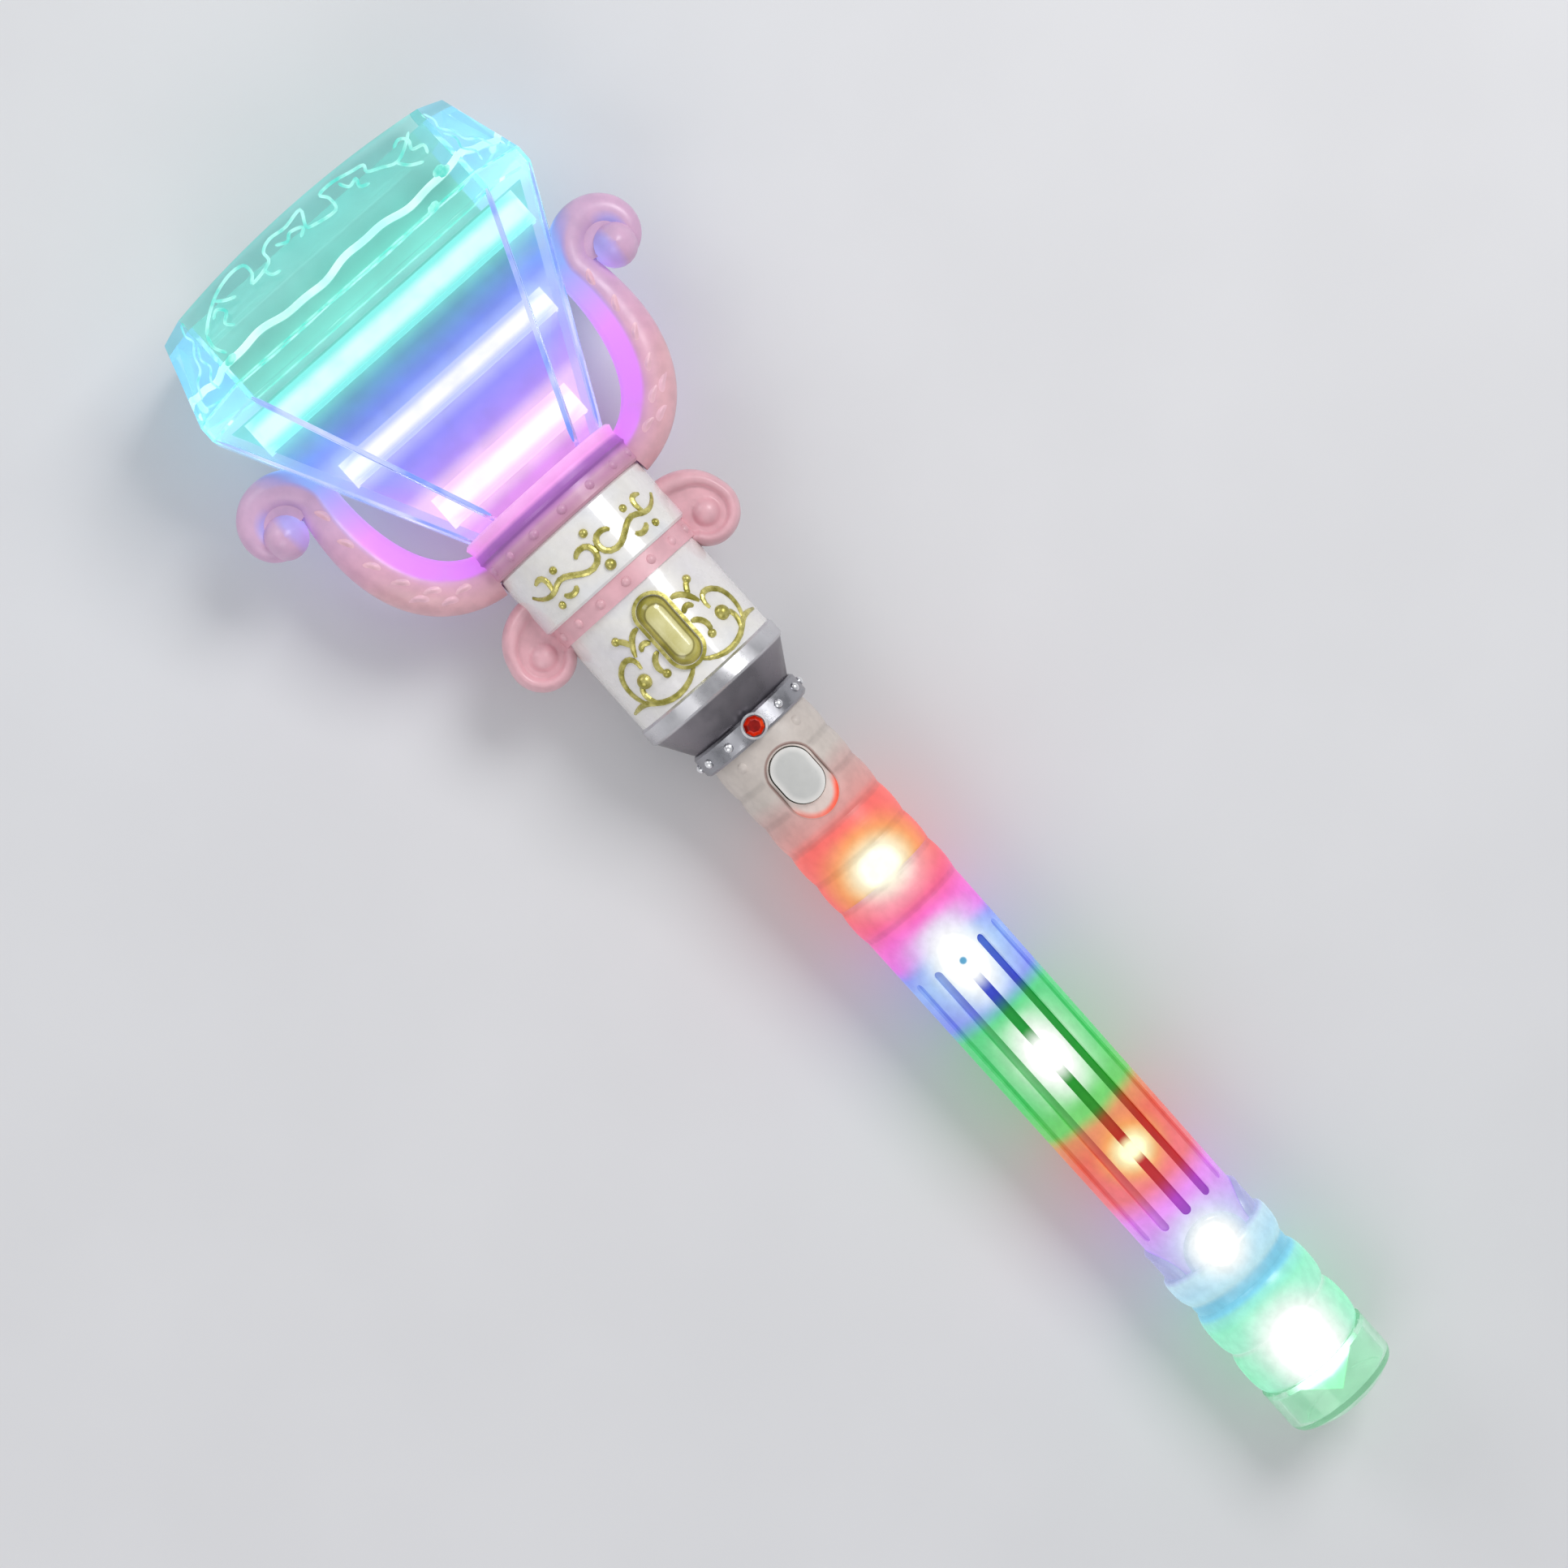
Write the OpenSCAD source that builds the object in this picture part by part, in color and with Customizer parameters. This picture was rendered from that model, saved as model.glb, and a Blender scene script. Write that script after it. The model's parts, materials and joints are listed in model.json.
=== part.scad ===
// Toy magic wand with a faceted crystal head, lyre-shaped scroll arms, a decorated neck,
// a ribbed and fluted light-up handle and a ringed pommel with a clear domed end.
// Every piece is drawn in wand coordinates: Z runs along the shaft from the pommel end to
// the crystal's table, and the button side faces -Y. laid() then puts the wand on its back,
// at rest on its end cap and its crystal, with the button up.

/* [Pommel] */
// Length of the clear end cap
cap_len = 15.9; // [14:0.1:18]
// Outer radius of the clear end cap
cap_r = 15.3; // [14.8:0.1:15.5]
// Radius of the dome on the end cap
cap_dome_r = 28; // [24:1:40]
// Rounding of the end cap's shoulder
cap_shoulder_r = 3.5; // [2.5:0.1:4.5]
// Wall of the end cap
cap_wall = 1.8; // [1.2:0.1:2]
// Length of one barrel ring of the pommel
pommel_ring_len = 12.6; // [11:0.1:15]
// Number of barrel rings below the lip
pommel_rings = 2; // [2:1:3]
// Radius of the barrel rings and the lip at their middle
pommel_r = 15.5; // [15.2:0.1:16.5]
// Radius of the waists between the barrel rings
pommel_waist_r = 14.8; // [14.4:0.1:15.1]
// Length of the lip above the barrel rings
lip_len = 11.5; // [8:0.1:13]
// Radius of a petal's rounded outline
petal_outline_r = 9.3; // [7:0.1:10]
// Thickness of the petals that lie on the handle
petal_t = 0.9; // [0.6:0.1:1.4]

/* [Handle] */
// Length of the fluted grip between the lip and the ribs
grip_len = 109.2; // [100:0.2:125]
// Radius of the grip at its lower end
grip_r_low = 13.2; // [13:0.1:13.4]
// Radius of the grip where the ribs start
grip_r_top = 13.7; // [13.4:0.1:13.9]
// Wall of the handle shells
handle_wall = 2; // [1.8:0.05:2.1]
// Number of barrel ribs above the grip
ribs = 6; // [6:1:7]
// Length of one rib
rib_len = 9.1; // [8.8:0.1:10]
// Radius of a rib at its middle
rib_r = 14.2; // [14:0.1:14.5]
// Radius of the waists between ribs
rib_waist_r = 13.75; // [13.6:0.05:13.9]
// Number of flute places around the grip, two of which fall on the parting line
flutes = 12; // [8:4:16]
// Width of one flute
flute_w = 2.5; // [1.5:0.1:3]
// Length of one flute
flute_len = 83; // [60:1:88]
// Depth of the flutes at the lower end of the grip
flute_depth = 0.6; // [0.3:0.05:0.7]

/* [Button] */
// Width of the oval button
button_w = 10.5; // [9.5:0.1:11.5]
// Height of the oval button along the handle
button_h = 14.2; // [13.4:0.1:15]
// How far the button stands out from the ribs
button_proud = 0.7; // [0.4:0.1:1.2]
// Travel of the button
button_travel = 0.9; // [0.6:0.1:0.9]
// Width of the dished recess round the button
dish_w = 12.7; // [12.4:0.1:14]
// Length of the dished recess
dish_len = 19.4; // [17:0.1:21]

/* [Battery bay] */
// Radius of a battery cell
cell_r = 5.25; // [4.8:0.05:5.3]
// Length of a battery cell with its nub
cell_len = 44.5; // [42:0.1:52]
// Number of cells in line
cells = 3; // [3:1:3]
// Width of the battery door
door_w = 16; // [15:0.1:17]
// Radius of the door screw's head
screw_head_r = 2.4; // [2.1:0.1:2.5]

/* [Band and cone] */
// Length of the jewelled band
band_len = 5.8; // [5.6:0.1:8]
// Radius of the jewelled band
band_r = 15.6; // [15.2:0.1:16.5]
// Radius of the round studs on the band
stud_r = 1.2; // [0.8:0.1:1.5]
// Radius of the red jewel
jewel_r = 2.5; // [2:0.1:2.7]
// Length of the flared cone
cone_len = 8.3; // [6:0.1:10]
// Radius of the cone at the band
cone_r_low = 14.5; // [14:0.1:15.2]
// Radius of the cone at its rim
cone_r_top = 19.6; // [18:0.1:20.2]
// Length of the rim ring above the cone
rim_len = 4.8; // [4:0.1:6]
// Radius of the rim ring
rim_r = 20.4; // [20.2:0.1:21.4]

/* [Neck] */
// Length of the lower neck sleeve
neck_low_len = 26.4; // [25:0.1:30]
// Radius of the lower neck sleeve
neck_low_r = 19.7; // [19.3:0.1:20.2]
// Length of the dotted neck band
neck_band_len = 5; // [4.4:0.1:7]
// Radius of the dotted neck band
neck_band_r = 20.6; // [20.3:0.1:21.4]
// Number of dots around the band and around the collar
neck_dots = 16; // [8:4:20]
// Length of the upper neck sleeve
neck_up_len = 17; // [15:0.1:20]
// Radius of the upper neck sleeve
neck_up_r = 21.7; // [21.4:0.1:22.2]
// Radius of the tube inside the neck
core_r = 17.4; // [17:0.1:17.6]
// Height of the oval cabochon
cabochon_h = 19; // [14:0.2:21]
// Rounding radius of the cabochon
cabochon_r = 4.5; // [4:0.1:5]
// How far the cabochon stands out of the sleeve
cabochon_proud = 1.2; // [0.8:0.1:1.6]
// Width of the gold strokes on the neck
stroke_w = 1.6; // [1.2:0.1:2]
// Width of the gold rim round the cabochon
cabochon_rim_w = 0.9; // [0.6:0.1:1.2]

/* [Scroll arms] */
// Distance of an arm's scroll centre from the shaft's axis
arm_scroll_x = 51.1; // [49:0.1:54]
// Height of an arm's scroll centre above the collar's foot
arm_scroll_rise = 43.3; // [42:0.1:48]
// Radius of an arm's centre line where its scroll starts
arm_scroll_r = 10.4; // [9.5:0.1:11]
// Thickness of an arm where it leaves the collar
arm_root_t = 11.8; // [10.5:0.1:13]
// Thickness that an arm gains at its belly
arm_belly_t = 2.4; // [1:0.1:3]
// Thickness of an arm where its scroll starts
arm_join_t = 10.2; // [9:0.1:11]
// Thickness of an arm at the end of its scroll
arm_tip_t = 5.8; // [5.4:0.1:6.4]
// Radius of the ball at the end of an arm's scroll
arm_ball_r = 5.3; // [4.6:0.1:5.6]
// Distance of a lower volute's centre from the shaft's axis
volute_x = 25.8; // [25:0.1:28]
// Radius of a lower volute's centre line
volute_r = 5.3; // [5:0.1:6]
// Thickness of a lower volute at its end
volute_tip_t = 6.2; // [5:0.1:6.6]
// Thickness of a lower volute where it leaves the neck
volute_root_t = 9.2; // [8:0.1:10]
// Radius of the ball in a lower volute
volute_ball_r = 3.9; // [3.2:0.1:4.4]

/* [Crystal] */
// Length of the pink collar that holds the crystal
collar_len = 11.3; // [10:0.1:13]
// Radius of the collar
collar_r = 22.6; // [22.5:0.1:24]
// Half width of the crystal at the collar
base_w = 20.9; // [19:0.1:21]
// Half width of the crystal's front face at the collar
base_front_w = 13.4; // [12.5:0.1:14]
// Half depth of the crystal at the collar
base_d = 15.5; // [15:0.1:16]
// Half width of the crystal at its girdle
girdle_w = 49.5; // [47:0.1:53]
// Half width of the crystal's front face at its girdle
girdle_front_w = 36.4; // [35:0.1:40]
// Half depth of the crystal at its girdle
girdle_d = 27; // [25:0.1:30]
// Half width of the crystal's table
table_w = 41.6; // [39:0.1:44]
// Half width of the table's front edge
table_front_w = 36.5; // [33:0.1:38]
// Half depth of the crystal's table
table_d = 21.5; // [20:0.1:23]
// Radius of the slight arch across the crystal's table
table_arch_r = 250; // [200:5:600]
// Length of the crystal from the collar to its girdle
pavilion_len = 57.2; // [52:0.1:64]
// Height of the upright girdle
girdle_len = 4; // [2:0.1:5]
// Length of the crystal from its girdle to its table
crown_len = 22.9; // [18:0.1:26]
// Wall of the crystal shell
crystal_wall = 2.2; // [1.6:0.1:2.4]

/* [Light] */
// Number of LEDs along the handle
handle_leds = 6; // [6:1:6]
// Distance between LEDs along the handle
led_pitch = 30.1; // [29:0.1:30.4]
// Thickness of the diffuser panel in the crystal
panel_t = 3; // [2:0.1:4]
// How far a light bar stands out from the panel
bar_proud = 3; // [2:0.1:4]

/* [Hidden] */
$fn = 96;
// Facets of wide rounds that thin pieces lie on
fine_facets = 360;
// Overrun of every cut past the face that it leaves
over = 1;
// Clearance between fixed pieces that slide together
fit_gap = 0.15;
// Clearance between pieces that move apart
move_gap = 0.3;
// Room that keeps glued curved faces from sharing volume
seat_gap = 0.04;
// Points along one barrel's bulge
barrel_steps = 8;

// Stations along the shaft, each the start of the piece that it names
z_rings = cap_len;
z_lip = z_rings + pommel_rings * pommel_ring_len;
z_grip = z_lip + lip_len;
z_ribs = z_grip + grip_len;
z_band = z_ribs + ribs * rib_len;
z_cone = z_band + band_len;
z_rim = z_cone + cone_len;
z_neck = z_rim + rim_len;
z_neck_band = z_neck + neck_low_len;
z_neck_up = z_neck_band + neck_band_len;
z_collar = z_neck_up + neck_up_len;
z_crystal = z_collar + collar_len;
z_girdle = z_crystal + pavilion_len;
z_crown = z_girdle + girdle_len;
wand_len = z_crown + crown_len;

// Handle tube: its bore, its tail in the pommel and its spigot in the neck
bore_r = grip_r_low - handle_wall;
tail_drop = 17.5;
z_tail = z_lip - tail_drop;
spigot_step = 0.4;
spigot_r = grip_r_low - spigot_step;
spigot_hold = 13;
z_spigot = z_neck + spigot_hold;
flute_floor_r = grip_r_low - flute_depth;
flute_lead = 11.5;
z_flute = z_grip + flute_lead + flute_len / 2;
pinhole_r = 0.5;
pinhole_drop = 15;
bump_r = 1.6;
bump_sink = 1;
bump_angle = 37;
bump_drop = 3;

// Pommel: the cap's spigot in the sleeve, the sleeve's inner ledge and the light core
cap_spigot_step = 0.7;
cap_spigot_r = grip_r_low - cap_spigot_step;
cap_spigot_len = 4.6;
cap_spigot_wall = 1.3;
cap_bore_r = cap_spigot_r - cap_spigot_wall;
shoulder_z = 6.2;
ledge_room = 0.3;
core_sides = 6;
core_r_low = cap_bore_r - fit_gap;
core_tip_z = 4.2;
core_girdle_drop = 2;
core_girdle_z = cap_len - core_girdle_drop;
core_prism_len = 4;
petals = 4;

// Front of the handle: board, LEDs, switch and button, as distances in front of the axis
board_drop = 3.2;
board_front = bore_r - board_drop;
board_t = 1;
board_w = 11;
board_end_gap = 5.5;
board_lead = 2.5;
z_board = z_rings + board_lead;
z_board_top = z_band - board_end_gap;
led_first_rise = 8.5;
z_led = z_rings + led_first_rise;
led_w = 3.5;
led_base_t = 0.8;
led_dome_r = 1.4;
pad_w = 1.4;
pad_len = 4;
pad_sink = 0.4;
pad_reach = bore_r - pad_sink;
pad_place_share = 0.5;
pads = 5;
button_drop = 12.6;
z_button = z_band - button_drop;
dish_shift = 1.7;
dish_depth = 0.6;
dish_floor_r = rib_r - dish_depth;
button_under_gap = 0.7;
button_under = bore_r + button_under_gap;
button_foot_lift = 2.3;
button_foot = board_front + button_foot_lift;
button_foot_t = 1;
button_foot_w = 3.6;
button_leg_t = 1.4;
button_leg_inset = 0.3;
button_foot_hook = 1.6;
switch_w = 6;
switch_t = 2.6;
plunger_r = 1.6;
plunger_len = 1.9;
plunger_well = 2.1;

// Back of the handle: cells, tray, door and its screw, as distances behind the axis
cell_wall_gap = 1.45;
cell_y = bore_r - cell_r - cell_wall_gap;
cell_nub_r = 1.9;
cell_nub_len = 1.2;
cell_play = 0.15;
tray_wall = 1.2;
tray_end_t = 1.6;
tray_end_gap = 1.2;
tray_end_r = bore_r - tray_end_gap;
plate_t = 0.5;
plate_w = 7.4;
spring_len = 4;
spring_wire_r = 0.4;
spring_turns = 4;
spring_base_r = 4;
spring_top_r = 2.2;
spring_sides = 6;
spring_turn_steps = 12;
ledge_proud = 0.2;
ledge_depth = 1;
ledge_r = bore_r + ledge_proud;
ledge_in_r = bore_r - ledge_depth;
ledge_w = 1.1;
ledge_len = 2.5;
ledge_spread = 1;
door_in_r = ledge_r + move_gap;
screw_drop = 6;
z_screw = z_band - screw_drop;
door_lead = 10;
door_end = 1.5;
z_door = z_grip + door_lead;
z_door_top = z_band - door_end;
screw_seat_t = 0.9;
screw_seat = door_in_r + screw_seat_t;
screw_head_t = 1;
screw_r = 1.2;
screw_len = 6;
screw_slot_w = 0.6;
screw_slot_depth = 0.5;
screw_slot_share = 1.4;
boss_wall = 0.9;
boss_r = screw_r + move_gap + boss_wall;
boss_depth = 6.5;
bay_gap = 1.2;
z_bay_top = z_screw - boss_r - bay_gap;
z_spring = z_bay_top - tray_end_t - spring_len;
z_cells = z_spring - cells * cell_len;
z_plate = z_cells - plate_t;
z_bay = z_plate - tray_end_t;

// Band, cone and jewel
ring_bore_r = spigot_r + fit_gap;
stud_sink = 0.2;
stud_places = 12;
bezel_wall = 0.7;
bezel_proud = 1.1;
jewel_sink = 1;
jewel_sides = 8;
jewel_girdle_t = 0.5;
jewel_crown_t = 1.2;
jewel_table_share = 0.6;
edge_soft = 0.6;

// Neck sleeves on their core tube
sleeve_bore_r = core_r + fit_gap;
core_wall = 2.6;
dot_r = 1.3;
dot_sink = 0.5;
cabochon_front = neck_low_r + cabochon_proud;
cabochon_y = cabochon_front - cabochon_r;
cabochon_sink = 1.1;
cabochon_back = neck_low_r - cabochon_sink;
cabochon_half = sqrt(pow(cabochon_r, 2) - pow(cabochon_back - cabochon_y, 2));
cabochon_rise = 13.9;
z_cabochon = z_neck + cabochon_rise;

// Gold relief, drawn as it is seen from the front, with X outward and Y up from its middle
stroke_steps = 7;
stroke_sides = 8;
stroke_high_share = 0.8;
stroke_taper_share = 0.45;
stroke_taper_power = 4;
rim_proud = 0.7;
vine_rise = 7.4;
z_vine = z_neck_up + vine_rise;
vine_stem = [
    [[18.4, 1.6], [16.6, -1.4], [14.6, -1.4], [12.4, 0.1]],
    [[12.4, 0.1], [9.4, 2], [7, -3], [3.6, -2.7]],
    [[3.6, -2.7], [-0.4, -2.3], [0, 3], [3.2, 2.7]],
    [[3.2, 2.7], [4.2, 2.6], [4.8, 2.2], [5.2, 1.6]]
];
vine_hook = [[[14, -0.3], [12.9, 2.6], [13.9, 4.8], [16, 3.4]]];
vine_leaf = [[[9.2, -2.9], [9.6, -4.4], [12, -4.4], [12.6, -2.8]]];
vine_dots = [[0, 4.9], [0, -4.6], [10.8, 3.2], [14.4, -4.2]];
vine_dot_r = [1.1, 1.4, 1, 1];
scroll_wave = [
    [[1.2, -9.9], [4.5, -13], [10, -14], [13.8, -10.5]],
    [[13.8, -10.5], [15.2, -9.2], [16.5, -8.9], [18.6, -9.6]]
];
scroll_outer = [
    [[10.7, -2.5], [9.8, 1.2], [12.6, 2.6], [15, -0.4]],
    [[15, -0.4], [16.6, -2.6], [16.6, -7], [14.8, -9.9]]
];
scroll_inner = [[[12.6, -5.2], [14.6, -6.3], [14.3, -9.4], [12.9, -11]]];
scroll_upper = [[[5.2, 5.2], [7.2, 5.3], [8.8, 3.6], [9.9, 0.4]]];
scroll_tail = [[[8.9, 3], [9.4, 4.4], [10, 5.4], [11, 6]]];
scroll_curl = [[[8, 0.4], [7.4, 1.9], [6.2, 1.8], [5.2, 0.6]]];
scroll_foot = [[[5.2, -1.9], [7, -2.2], [8.6, -4.6], [7.2, -6.8]]];
scroll_dots = [[12, -5.2], [11, 6.1], [7, -7.2]];
scroll_dot_r = [1.9, 1.1, 1.1];

// Collar: a floor for the board, a pocket for the crystal's foot and two mouldings
collar_floor = 2.1;
collar_seat = 4.1;
z_board_head = z_collar + collar_floor;
z_foot = z_collar + collar_seat;
collar_hole_r = 12;
head_board_r = 13.5;
head_board_t = 1.6;
head_leds = 3;
head_led_pitch = 7;
bead_share = 0.45;
bead_len_share = 0.12;
bead_proud = 0.4;
cove_depth = 0.5;
collar_dot_rise_share = 0.24;

// Scroll arms and lower volutes
arm_root_rise = 2.5;
arm_root_shares = [0.91, 0.074];
arm_join_shares = [0.147, 0.46];
arm_steps = 22;
arm_scroll_turn = 230;
arm_scroll_steps = 26;
arm_scroll_end_share = 0.45;
arm_scroll_power = 1;
arm_ball_shift = [0.8, -2];
arm_web_t = 5;
arm_depth_share = 0.95;
arm_sides = 16;
peg_r = 1.5;
peg_len = 4;
peg_rise = 2.3;
peg_set = 3;
volute_rise = -2.9;
z_volute = z_neck_up + volute_rise;
volute_from = 118;
volute_to = -150;
volute_swell_from = 20;
volute_swell_r = 6;
volute_swell_power = 1.5;
volute_steps = 30;
volute_depth_share = 1.15;
volute_sides = 14;
volute_web_t = 6;

// Crystal: half width, half width of the front face and half depth at each level
chamfer_slope = 1.44;
chamfer_shift_share = (sqrt(1 + chamfer_slope * chamfer_slope) - 1) / chamfer_slope;
base_size = [base_w, base_front_w, base_d];
girdle_size = [girdle_w, girdle_front_w, girdle_d];
table_size = [table_w, table_front_w, table_d];
table_t = 2.4;
table_drop = table_arch_r - sqrt(pow(table_arch_r, 2) - pow(table_w, 2));
panel_foot_w = 2;
panel_foot_x = 10.5;
panel_lift = 1.2;
panel_side_gap = 2.6;
panel_top_gap = 0.6;
bar_height_shares = [0.899, 0.547, 0.173];
bar_heights = [9, 6.7, 8.5];
bar_end_gap = 3.6;
bar_round_share = 0.32;
wire_r = 0.7;
wire_x = 1.6;
wire_tail = 3;

// How the wand lies: it touches the floor at the cap's shoulder and at the crystal's girdle
rest_run = z_girdle - shoulder_z;
rest_drop = girdle_d - (cap_r - cap_shoulder_r);
rest_tilt = atan2(rest_drop, rest_run) - asin(cap_shoulder_r / norm([rest_run, rest_drop]));
rest_lift = girdle_d * cos(rest_tilt) - z_girdle * sin(rest_tilt);
rest_far = wand_len * cos(rest_tilt) + table_d * sin(rest_tilt);
rest_near = cap_dome_r * (cos(rest_tilt) - 1);

// Names of the sub-parts

// Colours as the photograph shows them
clear_green = [0.60, 0.85, 0.72, 0.6];
mint = [0.62, 0.95, 0.80];
frosted = [0.90, 0.86, 0.88];
button_grey = [0.78, 0.78, 0.76];
board_white = [0.92, 0.94, 0.90];
metal_grey = [0.72, 0.72, 0.74];
cell_green = [0.22, 0.42, 0.30];
silver = [0.75, 0.74, 0.76];
jewel_red = [0.78, 0.14, 0.06];
pearl = [0.88, 0.88, 0.86];
gold = [0.72, 0.66, 0.25];
pink = [0.82, 0.58, 0.60];
crystal_blue = [0.60, 0.80, 0.95, 0.45];
light_white = [0.96, 0.96, 1];

// Placing

// Lays the wand on its back, with the middle of its length over the origin
module laid() {
    translate([-(rest_far + rest_near) / 2, 0, rest_lift])
        rotate([0, -rest_tilt, 0])
            rotate([-90, 0, -90])
                children();
}

// Turns a flat drawing to face the front at a distance from the axis and gives it a depth
module facing(distance, z, depth) {
    translate([0, -distance, z])
        rotate([90, 0, 0])
            linear_extrude(height = depth)
                children();
}

// Turns a flat drawing to face the back at a distance from the axis and gives it a depth
module backing(distance, z, depth) {
    translate([0, distance, z])
        rotate([90, 0, 180])
            linear_extrude(height = depth)
                children();
}

// Shapes that repeat

// Tube between two stations
module tube(r_out, r_in, z_low, z_high) {
    difference() {
        translate([0, 0, z_low])
            cylinder(r = r_out, h = z_high - z_low);
        translate([0, 0, z_low - over])
            cylinder(r = r_in, h = z_high - z_low + 2 * over);
    }
}

// Flat oval with straight sides and round ends
module stadium(w, h) {
    square([w, h - w], center = true);
    for (side = [-1, 1])
        translate([0, side * (h - w) / 2])
            circle(d = w);
}

// Points of a barrel's bulge from its low waist to its high waist
function barrel(r_waist, r_mid, z_low, len) = [
    for (i = [0 : barrel_steps])
        let (u = 2 * i / barrel_steps - 1)
        [r_waist + (r_mid - r_waist) * (1 - u * u), z_low + len * i / barrel_steps]
];

// Box between two corners
module box(low, high) {
    translate(low)
        cube(high - low);
}

// Round dots around the axis
module dots(count, r_ring, z, r_dot) {
    for (i = [0 : count - 1])
        rotate([0, 0, i * 360 / count])
            translate([0, -r_ring, z])
                sphere(r = r_dot, $fn = 24);
}

// Faces of a solid that is swept ring by ring, with its two ends closed
function ring_faces(last, sides) = concat(
    [
        for (i = [0 : last - 1])
            for (j = [0 : sides - 1])
                let (k = (j + 1) % sides, low = i * sides, high = low + sides)
                for (face = [[low + j, low + k, high + j], [low + k, high + k, high + j]])
                    face
    ],
    [
        [for (j = [sides - 1 : -1 : 0]) j],
        [for (j = [0 : sides - 1]) last * sides + j]
    ]
);

// Solid swept along a path in the XZ plane, with its own half thickness at each point
function unit(v) = v / norm(v);
function tangent(path, i) = unit(path[min(i + 1, len(path) - 1)] - path[max(i - 1, 0)]);
module swept(path, halves, depth_share, sides) {
    last = len(path) - 1;
    points = [
        for (i = [0 : last])
            let (way = tangent(path, i))
            for (j = [0 : sides - 1])
                let (out = halves[i] * cos(360 * j / sides))
                [
                    path[i].x + way.y * out,
                    -halves[i] * depth_share * sin(360 * j / sides),
                    path[i].y - way.x * out
                ]
    ];
    polyhedron(points = points, faces = ring_faces(last, sides));
}

// Pommel

// Solid of the domed cap, or of its hollow when drawn in by a wall
module cap_solid(inset) {
    intersection() {
        translate([0, 0, cap_dome_r])
            sphere(r = cap_dome_r - inset);
        rotate_extrude()
            difference() {
                union() {
                    translate([0, shoulder_z])
                        square([cap_r - inset, cap_len - shoulder_z]);
                    square([cap_r - cap_shoulder_r, cap_len]);
                    translate([cap_r - cap_shoulder_r, shoulder_z])
                        circle(r = cap_shoulder_r - inset);
                }
                translate([-2 * cap_r, -cap_len])
                    square([2 * cap_r, 3 * cap_len]);
            }
    }
}

module end_cap() {
    color(clear_green)
        laid()
            difference() {
                union() {
                    cap_solid(0);
                    translate([0, 0, z_rings - cap_wall])
                        cylinder(r = cap_spigot_r, h = cap_spigot_len + cap_wall);
                }
                difference() {
                    cap_solid(cap_wall);
                    translate([0, 0, z_rings - cap_wall])
                        cylinder(r = cap_r, h = cap_wall + over);
                }
                translate([0, 0, z_rings - cap_wall - over])
                    cylinder(r = cap_bore_r, h = cap_spigot_len + cap_wall + 2 * over);
            }
}

module pommel_core() {
    color(light_white)
        laid()
            rotate([0, 0, 90]) {
                translate([0, 0, core_tip_z])
                    cylinder(r1 = 0, r2 = core_r_low, h = core_girdle_z - core_tip_z, $fn = core_sides);
                translate([0, 0, core_girdle_z])
                    cylinder(r = core_r_low, h = core_prism_len, $fn = core_sides);
            }
}

module pommel_sleeve() {
    rings = [
        for (i = [0 : pommel_rings - 1])
            each barrel(pommel_waist_r, pommel_r, z_rings + i * pommel_ring_len, pommel_ring_len)
    ];
    outline = concat(
        [[0, z_rings]],
        rings,
        barrel(pommel_waist_r, pommel_r, z_lip, lip_len),
        [[0, z_grip]]
    );
    color(mint)
        laid() {
            difference() {
                rotate_extrude()
                    polygon(outline);
                translate([0, 0, z_rings - over])
                    cylinder(r = cap_spigot_r + fit_gap, h = cap_spigot_len + fit_gap + over);
                translate([0, 0, z_rings])
                    cylinder(r = bore_r + ledge_room, h = z_grip - z_rings);
                translate([0, 0, z_tail - fit_gap])
                    cylinder(r = grip_r_low + fit_gap, h = z_grip - z_tail + fit_gap + over);
            }
            petal_ring();
        }
}

// Four round-topped petals that rise from the lip and lie on the handle
module petal_ring() {
    petal_in_r = grip_r_low + fit_gap + (grip_r_top - grip_r_low) * petal_outline_r / grip_len;
    for (i = [0 : petals - 1])
        rotate([0, 0, i * 360 / petals])
            intersection() {
                tube(petal_in_r + petal_t, petal_in_r, z_grip, z_grip + petal_outline_r);
                translate([0, 0, z_grip])
                    rotate([90, 0, 0])
                        cylinder(r = petal_outline_r, h = 2 * pommel_r);
            }
}

// Handle

function handle_outline() = concat(
    [[0, z_tail], [grip_r_low, z_tail], [grip_r_low, z_grip], [grip_r_top, z_ribs]],
    [
        for (i = [0 : ribs - 1])
            each barrel(rib_waist_r, rib_r, z_ribs + i * rib_len, rib_len)
    ],
    [[spigot_r, z_band], [spigot_r, z_spigot], [0, z_spigot]]
);

// Outer form of the whole handle with its flutes, still solid
module handle_solid() {
    difference() {
        rotate_extrude()
            polygon(handle_outline());
        for (i = [0 : flutes - 1])
            if (i != flutes / 4 && i != flutes * 3 / 4)
                rotate([0, 0, i * 360 / flutes])
                    facing(flute_floor_r, z_flute, rib_r)
                        stadium(flute_w, flute_len);
    }
}

// Half of the hollow handle: side -1 is the front, side 1 the back
module handle_half(side) {
    difference() {
        handle_solid();
        translate([0, 0, z_tail - over])
            cylinder(r = bore_r, h = z_spigot - z_tail + 2 * over);
        translate([-2 * rib_r, side > 0 ? -4 * rib_r : 0, z_tail - over])
            cube([4 * rib_r, 4 * rib_r, z_spigot - z_tail + 2 * over]);
    }
}

module handle_front() {
    color(frosted)
        laid() {
            difference() {
                union() {
                    handle_half(-1);
                    bumps();
                }
                button_hole();
                facing(bore_r - over, z_ribs - pinhole_drop, rib_r)
                    circle(r = pinhole_r);
            }
            board_pads();
        }
}

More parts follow.
